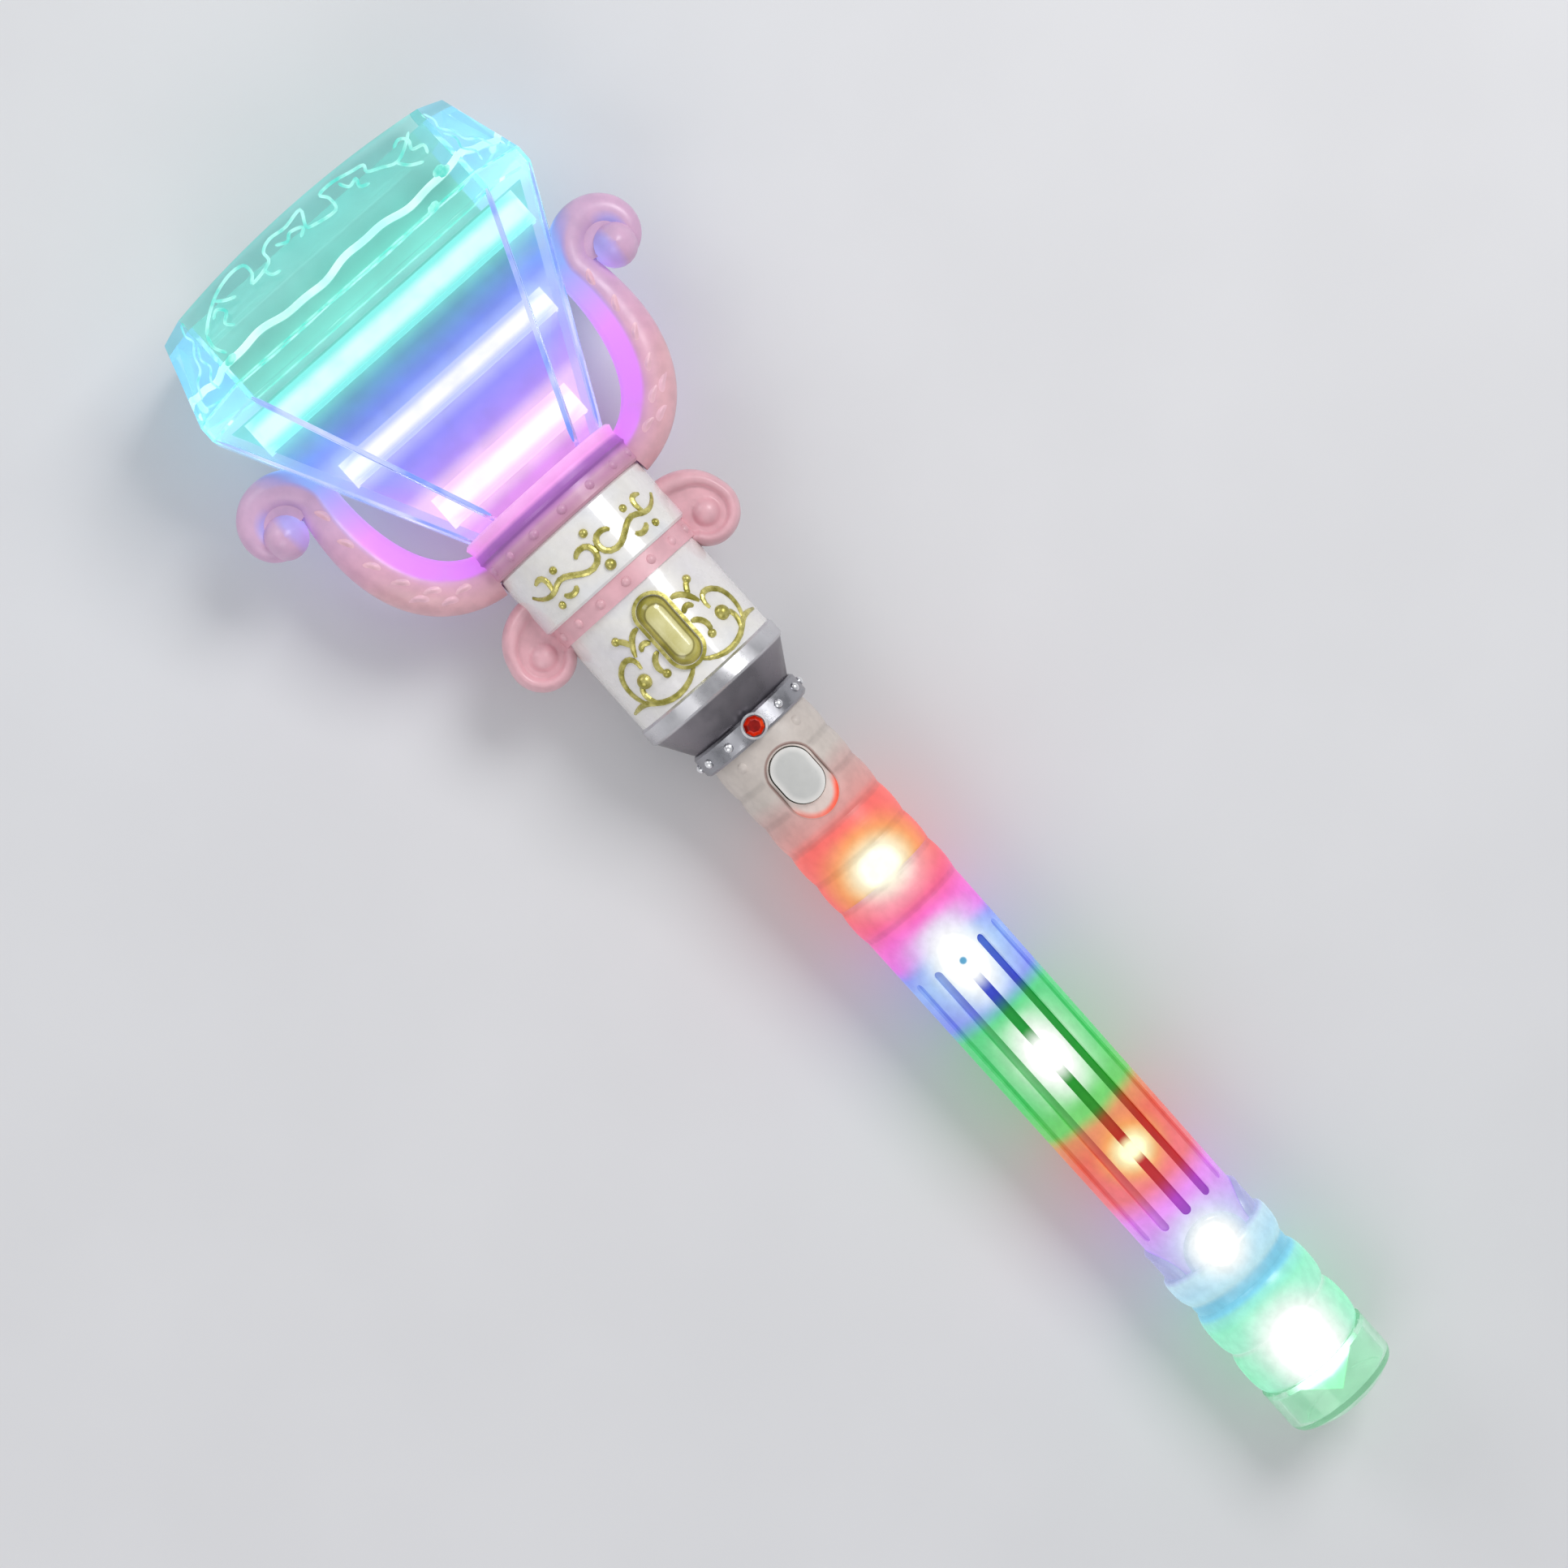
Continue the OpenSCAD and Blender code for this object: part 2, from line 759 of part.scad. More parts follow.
// Two small bumps moulded above the button
module bumps() {
    for (side = [-1, 1])
        difference() {
            rotate([0, 0, side * bump_angle])
                translate([0, -(rib_r - bump_sink), z_band - bump_drop])
                    sphere(r = bump_r, $fn = 32);
            translate([0, 0, z_ribs])
                cylinder(r = bore_r, h = z_spigot - z_ribs);
        }
}

// Opening for the button, the slots for its feet and the dish round it
module button_hole() {
    facing(bore_r - button_proud - over, z_button, rib_r)
        stadium(button_w + 2 * move_gap, button_h + 2 * move_gap);
    facing(board_front, z_button, button_foot + button_foot_t + move_gap - board_front)
        square([button_foot_w + 2 * move_gap, button_h + 2 * (button_foot_hook + move_gap)], center = true);
    difference() {
        facing(bore_r, z_button - dish_shift, rib_r)
            stadium(dish_w, dish_len);
        translate([0, 0, z_ribs])
            cylinder(r = dish_floor_r, h = z_spigot - z_ribs);
    }
}

// Pads inside the front shell that the board lies on
module board_pads() {
    for (i = [1 : pads])
        for (side = [-1, 1])
            translate([side * (board_w - pad_w) / 2, 0, z_led + (i + pad_place_share) * led_pitch])
                facing(board_front, 0, pad_reach - board_front)
                    square([pad_w, pad_len], center = true);
}

module handle_back() {
    color(frosted)
        laid()
            difference() {
                union() {
                    handle_half(1);
                    intersection() {
                        tube(ledge_r, ledge_in_r, z_door - ledge_len, z_band + over);
                        box(
                            [-door_w / 2 - ledge_spread, 0, z_door - ledge_len],
                            [door_w / 2 + ledge_spread, rib_r, z_band + over]
                        );
                    }
                    backing(bore_r - boss_depth, z_screw, boss_depth)
                        circle(r = boss_r);
                }
                door_frame();
                backing(bore_r - boss_depth + boss_wall, z_screw, boss_depth + rib_r)
                    circle(r = screw_r + move_gap);
            }
}

// Cut for the battery door: its full outline above the ledge and a smaller opening below
module door_frame() {
    difference() {
        box(
            [-door_w / 2 - move_gap, 0, z_door - move_gap],
            [door_w / 2 + move_gap, 2 * rib_r, z_door_top + move_gap]
        );
        translate([0, 0, z_tail])
            cylinder(r = ledge_r, h = z_spigot - z_tail);
    }
    box(
        [-door_w / 2 + ledge_w, 0, z_door + ledge_len],
        [door_w / 2 - ledge_w, 2 * rib_r, z_bay_top + move_gap]
    );
}

module battery_door() {
    color(frosted)
        laid()
            difference() {
                intersection() {
                    handle_solid();
                    box([-door_w / 2, 0, z_door], [door_w / 2, 2 * rib_r, z_door_top]);
                }
                translate([0, 0, z_door - over])
                    cylinder(r = door_in_r, h = z_door_top - z_door + 2 * over);
                backing(bore_r, z_screw, rib_r)
                    circle(r = screw_r + move_gap);
                backing(screw_seat, z_screw, rib_r)
                    circle(r = screw_head_r + move_gap);
            }
}

module door_screw() {
    color(metal_grey)
        laid()
            difference() {
                union() {
                    backing(screw_seat - screw_len, z_screw, screw_len)
                        circle(r = screw_r);
                    backing(screw_seat, z_screw, screw_head_t)
                        circle(r = screw_head_r);
                }
                for (turn = [0, 90])
                    backing(screw_seat + screw_head_t - screw_slot_depth, z_screw, over)
                        rotate(turn)
                            square([screw_slot_w, screw_slot_share * screw_head_r], center = true);
            }
}

// Button and switch

module button_cap() {
    color(button_grey)
        laid() {
            intersection() {
                facing(button_under, z_button, rib_r)
                    stadium(button_w, button_h);
                translate([0, 0, z_ribs])
                    cylinder(r = rib_r + button_proud, h = z_spigot - z_ribs);
            }
            for (side = [-1, 1])
                translate([0, 0, side * (button_h / 2 - button_leg_inset)])
                    button_leg(side);
        }
}

// Hooked leg that keeps the button in its opening
module button_leg(side) {
    facing(button_foot, z_button, button_under - button_foot)
        translate([0, -side * button_leg_t / 2])
            square([button_foot_w, button_leg_t], center = true);
    facing(button_foot, z_button, button_foot_t)
        translate([0, side * button_foot_hook / 2])
            square([button_foot_w, button_foot_hook], center = true);
}

module switch_plunger() {
    color(button_grey)
        laid()
            facing(button_under - plunger_len, z_button, plunger_len)
                circle(r = plunger_r);
}

module switch_body() {
    color(metal_grey)
        laid()
            difference() {
                facing(board_front, z_button, switch_t)
                    square(switch_w, center = true);
                facing(board_front + switch_t - plunger_well, z_button, plunger_well + over)
                    circle(r = plunger_r + move_gap);
            }
}

// Light in the handle

module led_board() {
    color(board_white)
        laid()
            box([-board_w / 2, -board_front, z_board], [board_w / 2, board_t - board_front, z_board_top]);
}

// Square LED with a domed lens, lying on its back at the origin and facing up
module led() {
    translate([-led_w / 2, -led_w / 2, 0])
        cube([led_w, led_w, led_base_t]);
    translate([0, 0, led_base_t])
        intersection() {
            sphere(r = led_dome_r, $fn = 32);
            cylinder(r = led_w, h = led_w);
        }
}

// LEDs are counted from the button end down to the pommel
module handle_led(index) {
    color(light_white)
        laid()
            translate([0, -board_front, z_led + (handle_leds - index) * led_pitch])
                rotate([90, 0, 0])
                    led();
}

// Power

module battery_tray() {
    trough_r = cell_r + cell_play;
    color(board_white)
        laid() {
            difference() {
                union() {
                    intersection() {
                        translate([0, cell_y, z_bay])
                            cylinder(r = trough_r + tray_wall, h = z_bay_top - z_bay);
                        box([-bore_r, -bore_r, z_bay], [bore_r, cell_y, z_bay_top]);
                    }
                    intersection() {
                        translate([0, 0, z_bay])
                            cylinder(r = bore_r - fit_gap, h = z_bay_top - z_bay);
                        box([-bore_r, cell_y - tray_wall, z_bay], [bore_r, cell_y, z_bay_top]);
                    }
                }
                translate([0, cell_y, z_bay - over])
                    cylinder(r = trough_r, h = z_bay_top - z_bay + 2 * over);
            }
            for (z = [z_bay, z_bay_top - tray_end_t])
                intersection() {
                    translate([0, 0, z])
                        cylinder(r = tray_end_r, h = tray_end_t);
                    box(
                        [-trough_r, cell_y - trough_r - tray_wall / 2, z],
                        [trough_r, bore_r, z + tray_end_t]
                    );
                }
        }
}

module battery(index) {
    color(cell_green)
        laid()
            translate([0, cell_y, z_cells + (index - 1) * cell_len]) {
                cylinder(r = cell_nub_r, h = cell_nub_len);
                translate([0, 0, cell_nub_len])
                    cylinder(r = cell_r, h = cell_len - cell_nub_len);
            }
}

module battery_plate() {
    color(metal_grey)
        laid()
            box([-plate_w / 2, cell_y - plate_w / 2, z_plate], [plate_w / 2, cell_y + plate_w / 2, z_cells]);
}

// Conical contact spring behind the last cell
module battery_spring() {
    rise = spring_len - 2 * spring_wire_r;
    last = spring_turns * spring_turn_steps;
    points = [
        for (i = [0 : last])
            let (
                share = i / last,
                turn = 360 * spring_turns * share,
                r = spring_top_r + (spring_base_r - spring_top_r) * share
            )
            for (j = [0 : spring_sides - 1])
                let (a = 360 * j / spring_sides)
                [
                    (r + spring_wire_r * cos(a)) * cos(turn),
                    (r + spring_wire_r * cos(a)) * sin(turn),
                    spring_wire_r + rise * share + spring_wire_r * sin(a)
                ]
    ];
    color(metal_grey)
        laid()
            translate([0, cell_y, z_spring])
                polyhedron(points = points, faces = ring_faces(last, spring_sides));
}

// Band and cone

module jewel_band() {
    z_mid = z_band + band_len / 2;
    outline = [
        [ring_bore_r, z_band],
        [band_r - edge_soft, z_band],
        [band_r, z_band + edge_soft],
        [band_r, z_cone - edge_soft],
        [band_r - edge_soft, z_cone],
        [ring_bore_r, z_cone]
    ];
    color(silver)
        laid()
            difference() {
                union() {
                    rotate_extrude()
                        polygon(outline);
                    difference() {
                        dots(stud_places, band_r - stud_sink, z_mid, stud_r);
                        translate([0, 0, z_band])
                            cylinder(r = ring_bore_r, h = band_len);
                    }
                    facing(ring_bore_r + jewel_sink, z_mid, band_r + bezel_proud - ring_bore_r - jewel_sink)
                        circle(r = jewel_r + bezel_wall);
                }
                facing(band_r - jewel_sink, z_mid, jewel_sink + bezel_proud + stud_r + over)
                    circle(r = jewel_r + fit_gap);
            }
}

module red_jewel() {
    color(jewel_red)
        laid()
            translate([0, -(band_r - jewel_sink), z_band + band_len / 2])
                rotate([90, 0, 0]) {
                    cylinder(r = jewel_r, h = jewel_sink + jewel_girdle_t, $fn = jewel_sides);
                    translate([0, 0, jewel_sink + jewel_girdle_t])
                        cylinder(
                            r1 = jewel_r, r2 = jewel_r * jewel_table_share,
                            h = jewel_crown_t, $fn = jewel_sides
                        );
                }
}

module flare_cone() {
    outline = [
        [ring_bore_r, z_cone],
        [cone_r_low, z_cone],
        [cone_r_top, z_rim],
        [rim_r - edge_soft, z_rim],
        [rim_r, z_rim + edge_soft],
        [rim_r, z_neck - edge_soft],
        [rim_r - edge_soft, z_neck],
        [ring_bore_r, z_neck]
    ];
    color(silver)
        laid()
            rotate_extrude()
                polygon(outline);
}

// Neck

module neck_core() {
    color(pearl)
        laid()
            difference() {
                translate([0, 0, z_neck])
                    cylinder(r = core_r, h = z_collar - z_neck);
                translate([0, 0, z_neck - over])
                    cylinder(r = ring_bore_r, h = spigot_hold + fit_gap + over);
                translate([0, 0, z_neck + spigot_hold])
                    cylinder(r = core_r - core_wall, h = z_collar - z_neck);
            }
}

module neck_lower_sleeve() {
    color(pearl)
        laid()
            difference() {
                tube(neck_low_r, sleeve_bore_r, z_neck, z_neck_band);
                facing(cabochon_back, z_cabochon, neck_low_r)
                    stadium(2 * (cabochon_half + fit_gap), cabochon_h + 2 * fit_gap);
            }
}

// Oval stone with a round face and a flat back
module cabochon() {
    straight = cabochon_h - 2 * cabochon_half;
    color(gold)
        laid()
            difference() {
                translate([0, -cabochon_y, z_cabochon]) {
                    translate([0, 0, -straight / 2])
                        cylinder(r = cabochon_r, h = straight);
                    for (side = [-1, 1])
                        translate([0, 0, side * straight / 2])
                            sphere(r = cabochon_r);
                }
                box(
                    [-neck_low_r, -cabochon_back, z_cabochon - cabochon_h],
                    [neck_low_r, neck_low_r, z_cabochon + cabochon_h]
                );
            }
}

// A flat front view laid onto a round sleeve
function on_sleeve(p, r) = [p.x, -sqrt(r * r - p.x * p.x), p.y];
// Points of a stroke that runs through several curves
function stroke_path(curves) = concat(
    [for (curve = curves) for (i = [0 : stroke_steps - 1]) bezier(curve, i / stroke_steps)],
    [curves[len(curves) - 1][3]]
);

// Raised stroke that follows a sleeve and thins out at its ends
module stroke(curves, r) {
    path = [for (p = stroke_path(curves)) on_sleeve(p, r)];
    last = len(path) - 1;
    points = [
        for (i = [0 : last])
            let (
                way = tangent(path, i),
                out = unit([path[i].x, path[i].y, 0]),
                side = cross(way, out),
                thin = stroke_taper_share * pow(abs(2 * i / last - 1), stroke_taper_power),
                half = stroke_w / 2 * (1 - thin)
            )
            for (j = [0 : stroke_sides - 1])
                let (a = 360 * j / stroke_sides)
                path[i] + half * (cos(a) * stroke_high_share * out - sin(a) * side)
    ];
    polyhedron(points = points, faces = ring_faces(last, stroke_sides));
}

// Strokes and dots of one side and their mirror image, trimmed to lie on a sleeve
module relief(strokes, places, sizes, r, z) {
    difference() {
        translate([0, 0, z])
            for (side = [0, 1])
                mirror([side, 0, 0]) {
                    for (curves = strokes)
                        stroke(curves, r);
                    for (i = [0 : len(places) - 1])
                        translate(on_sleeve(places[i], r))
                            sphere(r = sizes[i], $fn = 24);
                }
        translate([0, 0, z_rim])
            cylinder(r = r + seat_gap, h = z_collar - z_rim, $fn = fine_facets);
    }
}

module neck_vine() {
    color(gold)
        laid()
            relief([vine_stem, vine_hook, vine_leaf], vine_dots, vine_dot_r, neck_up_r, z_vine);
}

module neck_scrolls() {
    strokes = [
        scroll_wave, scroll_outer, scroll_inner, scroll_upper, scroll_tail, scroll_curl, scroll_foot
    ];
    color(gold)
        laid() {
            relief(strokes, scroll_dots, scroll_dot_r, neck_low_r, z_cabochon);
            cabochon_rim();
        }
}

// Raised rim round the cabochon's pocket
module cabochon_rim() {
    inner_w = 2 * (cabochon_half + fit_gap);
    inner_h = cabochon_h + 2 * fit_gap;
    intersection() {
        tube(neck_low_r + rim_proud, neck_low_r + seat_gap, z_neck, z_neck_band, $fn = fine_facets);
        facing(neck_low_r / 2, z_cabochon, neck_low_r)
            difference() {
                stadium(inner_w + 2 * cabochon_rim_w, inner_h + 2 * cabochon_rim_w);
                stadium(inner_w, inner_h);
            }
    }
}

module neck_band() {
    color(pink)
        laid() {
            tube(neck_band_r, sleeve_bore_r, z_neck_band, z_neck_up);
            difference() {
                dots(neck_dots, neck_band_r - dot_sink, z_neck_band + neck_band_len / 2, dot_r);
                translate([0, 0, z_neck])
                    cylinder(r = sleeve_bore_r, h = z_collar - z_neck);
            }
        }
}

module neck_upper_sleeve() {
    outline = [
        [sleeve_bore_r, z_neck_up],
        [neck_up_r - edge_soft, z_neck_up],
        [neck_up_r, z_neck_up + edge_soft],
        [neck_up_r, z_collar - edge_soft],
        [neck_up_r - edge_soft, z_collar],
        [sleeve_bore_r, z_collar]
    ];
    color(pearl)
        laid()
            rotate_extrude()
                polygon(outline);
}

// Everything round the axis that the volutes lie against
module neck_envelope() {
    translate([0, 0, z_rim])
        cylinder(r = neck_low_r + seat_gap, h = z_collar - z_rim);
    translate([0, 0, z_neck_band])
        cylinder(r = neck_band_r + dot_r - dot_sink + seat_gap, h = neck_band_len);
    translate([0, 0, z_neck_up])
        cylinder(r = neck_up_r + seat_gap, h = neck_up_len);
}

// Centre line of a lower volute: it leaves the neck above and curls in below
function volute_path() = [
    for (i = [0 : volute_steps])
        let (
            a = volute_from + (volute_to - volute_from) * i / volute_steps,
            swell = max(0, a - volute_swell_from) / (volute_from - volute_swell_from),
            r = volute_r + volute_swell_r * pow(swell, volute_swell_power)
        )
        [volute_x + r * cos(a), z_volute + r * sin(a)]
];

module volute() {
    path = volute_path();
    halves = [
        for (i = [0 : volute_steps])
            (volute_root_t + (volute_tip_t - volute_root_t) * sqrt(i / volute_steps)) / 2
    ];
    difference() {
        union() {
            swept(path, halves, volute_depth_share, volute_sides);
            scroll_web(path, volute_web_t);
            translate([volute_x, 0, z_volute])
                rotate([90, 0, 0])
                    scroll_ball(volute_ball_r, volute_tip_t * volute_depth_share);
        }
        neck_envelope();
    }
}

// Plate that closes the inside of a scroll
module scroll_web(path, web_t) {
    rotate([90, 0, 0])
        linear_extrude(height = web_t, center = true)
            polygon(path);
}

// Boss with round faces that fills the eye of a scroll, drawn along Z
module scroll_ball(r, length) {
    cylinder(r = r, h = length - r, center = true, $fn = 48);
    for (side = [-1, 1])
        translate([0, 0, side * (length - r) / 2])
            sphere(r = r, $fn = 48);
}

module volute_left() {
    color(pink)
        laid()
            mirror([1, 0, 0])
                volute();
}

module volute_right() {
    color(pink)
        laid()
            volute();
}

// Collar and scroll arms

module socket_collar() {
    z_bead = z_collar + collar_len * bead_share;
    z_cove = z_bead + collar_len * bead_len_share;
    z_collar_dots = z_collar + collar_len * collar_dot_rise_share;
    outline = [
        [collar_hole_r, z_collar],
        [collar_r - edge_soft, z_collar],
        [collar_r, z_collar + edge_soft],
        [collar_r, z_bead],
        [collar_r + bead_proud, (z_bead + z_cove) / 2],
        [collar_r, z_cove],
        [collar_r - cove_depth, (z_cove + z_crystal) / 2],
        [collar_r, z_crystal - edge_soft],
        [collar_r - edge_soft, z_crystal],
        [collar_hole_r, z_crystal]
    ];
    color(pink)
        laid()
            difference() {
                union() {
                    rotate_extrude()
                        polygon(outline);
                    dots(neck_dots, collar_r - dot_sink, z_collar_dots, dot_r);
                }
                translate([0, 0, z_board_head])
                    cylinder(r = head_board_r + fit_gap, h = collar_len);
                translate([0, 0, z_foot])
                    linear_extrude(height = collar_len)
                        polygon(octagon(grown(base_size, fit_gap)));
                for (side = [-1, 1])
                    translate([side * (collar_r - peg_len - fit_gap), 0, z_collar + peg_rise])
                        rotate([0, side * 90, 0])
                            cylinder(r = peg_r + fit_gap, h = peg_len + collar_r);
            }
}

// Centre line of a scroll arm: a curve up from the collar, then a scroll that winds in
function bezier(p, t) =
    pow(1 - t, 3) * p[0] + 3 * t * pow(1 - t, 2) * p[1] + 3 * t * t * (1 - t) * p[2] + pow(t, 3) * p[3];
function arm_path() =
    let (
        eye = [arm_scroll_x, z_collar + arm_scroll_rise],
        root = [collar_r - peg_r, z_collar + arm_root_rise],
        join = eye - [arm_scroll_r, 0],
        span = join - root,
        root_pull = root + [span.x * arm_root_shares[0], span.y * arm_root_shares[1]],
        join_pull = join + [span.x * arm_join_shares[0], -span.y * arm_join_shares[1]],
        end_r = arm_scroll_r * arm_scroll_end_share
    )
    concat(
        [for (i = [0 : arm_steps - 1]) bezier([root, root_pull, join_pull, join], i / arm_steps)],
        [
            for (i = [0 : arm_scroll_steps])
                let (
                    share = i / arm_scroll_steps,
                    a = 180 - arm_scroll_turn * share,
                    r = end_r + (arm_scroll_r - end_r) * pow(1 - share, arm_scroll_power)
                )
                eye + r * [cos(a), sin(a)]
        ]
    );
function arm_halves() = concat(
    [
        for (i = [0 : arm_steps - 1])
            let (t = i / arm_steps)
            (arm_root_t + (arm_join_t - arm_root_t) * t + arm_belly_t * sin(180 * t)) / 2
    ],
    [
        for (i = [0 : arm_scroll_steps])
            (arm_join_t + (arm_tip_t - arm_join_t) * i / arm_scroll_steps) / 2
    ]
);

module scroll_arm() {
    path = arm_path();
    scroll = [for (i = [arm_steps : len(path) - 1]) path[i]];
    difference() {
        union() {
            swept(path, arm_halves(), arm_depth_share, arm_sides);
            scroll_web(scroll, arm_web_t);
            translate([arm_scroll_x + arm_ball_shift.x, 0, z_collar + arm_scroll_rise + arm_ball_shift.y])
                rotate([90, 0, 0])
                    scroll_ball(arm_ball_r, arm_join_t * arm_depth_share);
        }
        translate([0, 0, z_collar])
            cylinder(r = collar_r + bead_proud + seat_gap, h = collar_len);
        translate([0, 0, z_rim])
            cylinder(r = neck_up_r + seat_gap, h = z_collar - z_rim);
        crystal_envelope();
    }
    translate([collar_r - peg_len, 0, z_collar + peg_rise])
        rotate([0, 90, 0])
            cylinder(r = peg_r, h = peg_len + bead_proud + peg_set);
}

module scroll_arm_left() {
    color(pink)
        laid()
            mirror([1, 0, 0])
                scroll_arm();
}

module scroll_arm_right() {
    color(pink)
        laid()
            scroll_arm();
}

// Crystal

// Eight corners of a level, from its half width, its front face's half width and its half depth
function octagon(size) =
    let (side = size[2] - (size[0] - size[1]) * chamfer_slope)
    [
        [size[1], -size[2]], [size[0], -side], [size[0], side], [size[1], size[2]],
        [-size[1], size[2]], [-size[0], side], [-size[0], -side], [-size[1], -size[2]]
    ];
// A level grown outward by an even wall, or drawn in by a negative one
function grown(size, wall) = size + wall * [1, chamfer_shift_share, 1];
// Level of the crystal's pavilion at a share of its height
function pavilion(share) = base_size + (girdle_size - base_size) * share;

// Faceted solid through levels, each a size and a height
module faceted(levels) {
    sides = 8;
    last = len(levels) - 1;
    points = [
        for (level = levels)
            for (corner = octagon(level[0]))
                [corner.x, corner.y, level[1]]
    ];
    walls = [
        for (i = [0 : last - 1])
            for (j = [0 : sides - 1])
                let (k = (j + 1) % sides)
                [i * sides + j, (i + 1) * sides + j, (i + 1) * sides + k, i * sides + k]
    ];
    foot = [for (j = [0 : sides - 1]) j];
    top = [for (j = [sides - 1 : -1 : 0]) last * sides + j];
    polyhedron(points = points, faces = concat(walls, [foot, top]));
}

// Space that the crystal takes up above the collar
module crystal_envelope() {
    faceted([
        [grown(base_size, seat_gap), z_foot],
        [grown(base_size, seat_gap), z_crystal],
        [grown(girdle_size, seat_gap), z_girdle],
        [grown(girdle_size, seat_gap), z_crown]
    ]);
}

module crystal_body() {
    inner_base = grown(base_size, -crystal_wall);
    inner_girdle = grown(girdle_size, -crystal_wall);
    color(crystal_blue)
        laid()
            difference() {
                faceted([
                    [base_size, z_foot],
                    [base_size, z_crystal],
                    [girdle_size, z_girdle],
                    [girdle_size, z_crown]
                ]);
                faceted([
                    [inner_base, z_foot - over],
                    [inner_base, z_crystal],
                    [inner_girdle, z_girdle],
                    [inner_girdle, z_crown + over]
                ]);
            }
}

module crystal_crown() {
    inner_girdle = grown(girdle_size, -crystal_wall);
    inner_table = grown(table_size, -crystal_wall);
    color(crystal_blue)
        laid()
            difference() {
                intersection() {
                    faceted([[girdle_size, z_crown], [table_size, wand_len]]);
                    translate([0, 0, wand_len - table_arch_r])
                        rotate([90, 0, 0])
                            cylinder(r = table_arch_r, h = 4 * girdle_d, center = true, $fn = fine_facets);
                }
                faceted([
                    [inner_girdle, z_crown - over],
                    [inner_girdle, z_crown],
                    [inner_table, wand_len - table_t - table_drop]
                ]);
            }
}

// Light in the crystal

module head_board() {
    color(board_white)
        laid()
            translate([0, 0, z_board_head])
                cylinder(r = head_board_r, h = head_board_t);
}

module head_led(index) {
    color(light_white)
        laid()
            translate([(index - 1 - (head_leds - 1) / 2) * head_led_pitch, 0, z_board_head + head_board_t])
                led();
}

// Half width of the diffuser panel at a height in the pavilion
function panel_half(z) =
    grown(pavilion((z - z_crystal) / pavilion_len), -crystal_wall).x - panel_side_gap;

module diffuser_panel() {
    z_low = z_board_head + head_board_t + led_base_t + led_dome_r + panel_lift;
    z_high = z_girdle - panel_top_gap;
    half_low = grown(base_size, -crystal_wall).x - panel_side_gap;
    outline = [
        [-half_low, z_low], [half_low, z_low], [half_low, z_crystal],
        [panel_half(z_high), z_high], [-panel_half(z_high), z_high], [-half_low, z_crystal]
    ];
    color(light_white)
        laid()
            translate([0, panel_t / 2, 0])
                rotate([90, 0, 0])
                    linear_extrude(height = panel_t) {
                        polygon(outline);
                        for (side = [-1, 1])
                            translate([side * (panel_foot_x + panel_foot_w / 2), 0])
                                translate([-panel_foot_w / 2, z_board_head + head_board_t])
                                    square([panel_foot_w, z_low - z_board_head]);
                    }
}

// Rounded bar on each face of the panel
module light_bar(index) {
    z = z_crystal + pavilion_len * bar_height_shares[index - 1];
    height = bar_heights[index - 1];
    half = panel_half(z) - bar_end_gap + panel_side_gap;
    color(light_white)
        laid()
            for (side = [-1, 1])
                mirror([0, side > 0 ? 1 : 0, 0])
                    bar_strip(half, height, z);
}

// One bar with half-round ends and a softened front edge, on the panel's front face
module bar_strip(half, height, z) {
    soft = bar_proud * bar_round_share;
    facing(panel_t / 2, z, bar_proud - soft)
        square([2 * half, height], center = true);
    facing(panel_t / 2 + bar_proud - soft, z, soft)
        square([2 * (half - soft), height - 2 * soft], center = true);
}

// Leads from the handle's board to the head's board
module wire(side) {
    translate([side * wire_x, board_t - board_front + wire_r, z_board_top - wire_tail])
        cylinder(r = wire_r, h = z_board_head - z_board_top + wire_tail);
}

module wire_red() {
    color("red")
        laid()
            wire(1);
}

module wire_black() {
    color([0.1, 0.1, 0.1])
        laid()
            wire(-1);
}

end_cap();
pommel_core();
pommel_sleeve();
handle_front();
handle_back();
button_cap();
switch_plunger();
switch_body();
led_board();
handle_led(1);  // handle_led_1
handle_led(2);  // handle_led_2
handle_led(3);  // handle_led_3
handle_led(4);  // handle_led_4
handle_led(5);  // handle_led_5
handle_led(6);  // handle_led_6
battery_tray();
battery(1);  // battery_1
battery(2);  // battery_2
battery(3);  // battery_3
battery_spring();
battery_plate();
battery_door();
door_screw();
jewel_band();
red_jewel();
flare_cone();
neck_core();
neck_lower_sleeve();
neck_scrolls();
cabochon();
neck_band();
volute_left();
volute_right();
neck_upper_sleeve();
neck_vine();
socket_collar();
scroll_arm_left();
scroll_arm_right();
head_board();
head_led(1);  // head_led_1
head_led(2);  // head_led_2
head_led(3);  // head_led_3
diffuser_panel();
light_bar(1);  // light_bar_1
light_bar(2);  // light_bar_2
light_bar(3);  // light_bar_3
crystal_body();
crystal_crown();
wire_red();
wire_black();
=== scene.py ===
"""Looks of the toy magic wand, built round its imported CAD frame. Metres, row frame."""

import json
import math

import bmesh
import bpy
from mathutils import Matrix, Vector


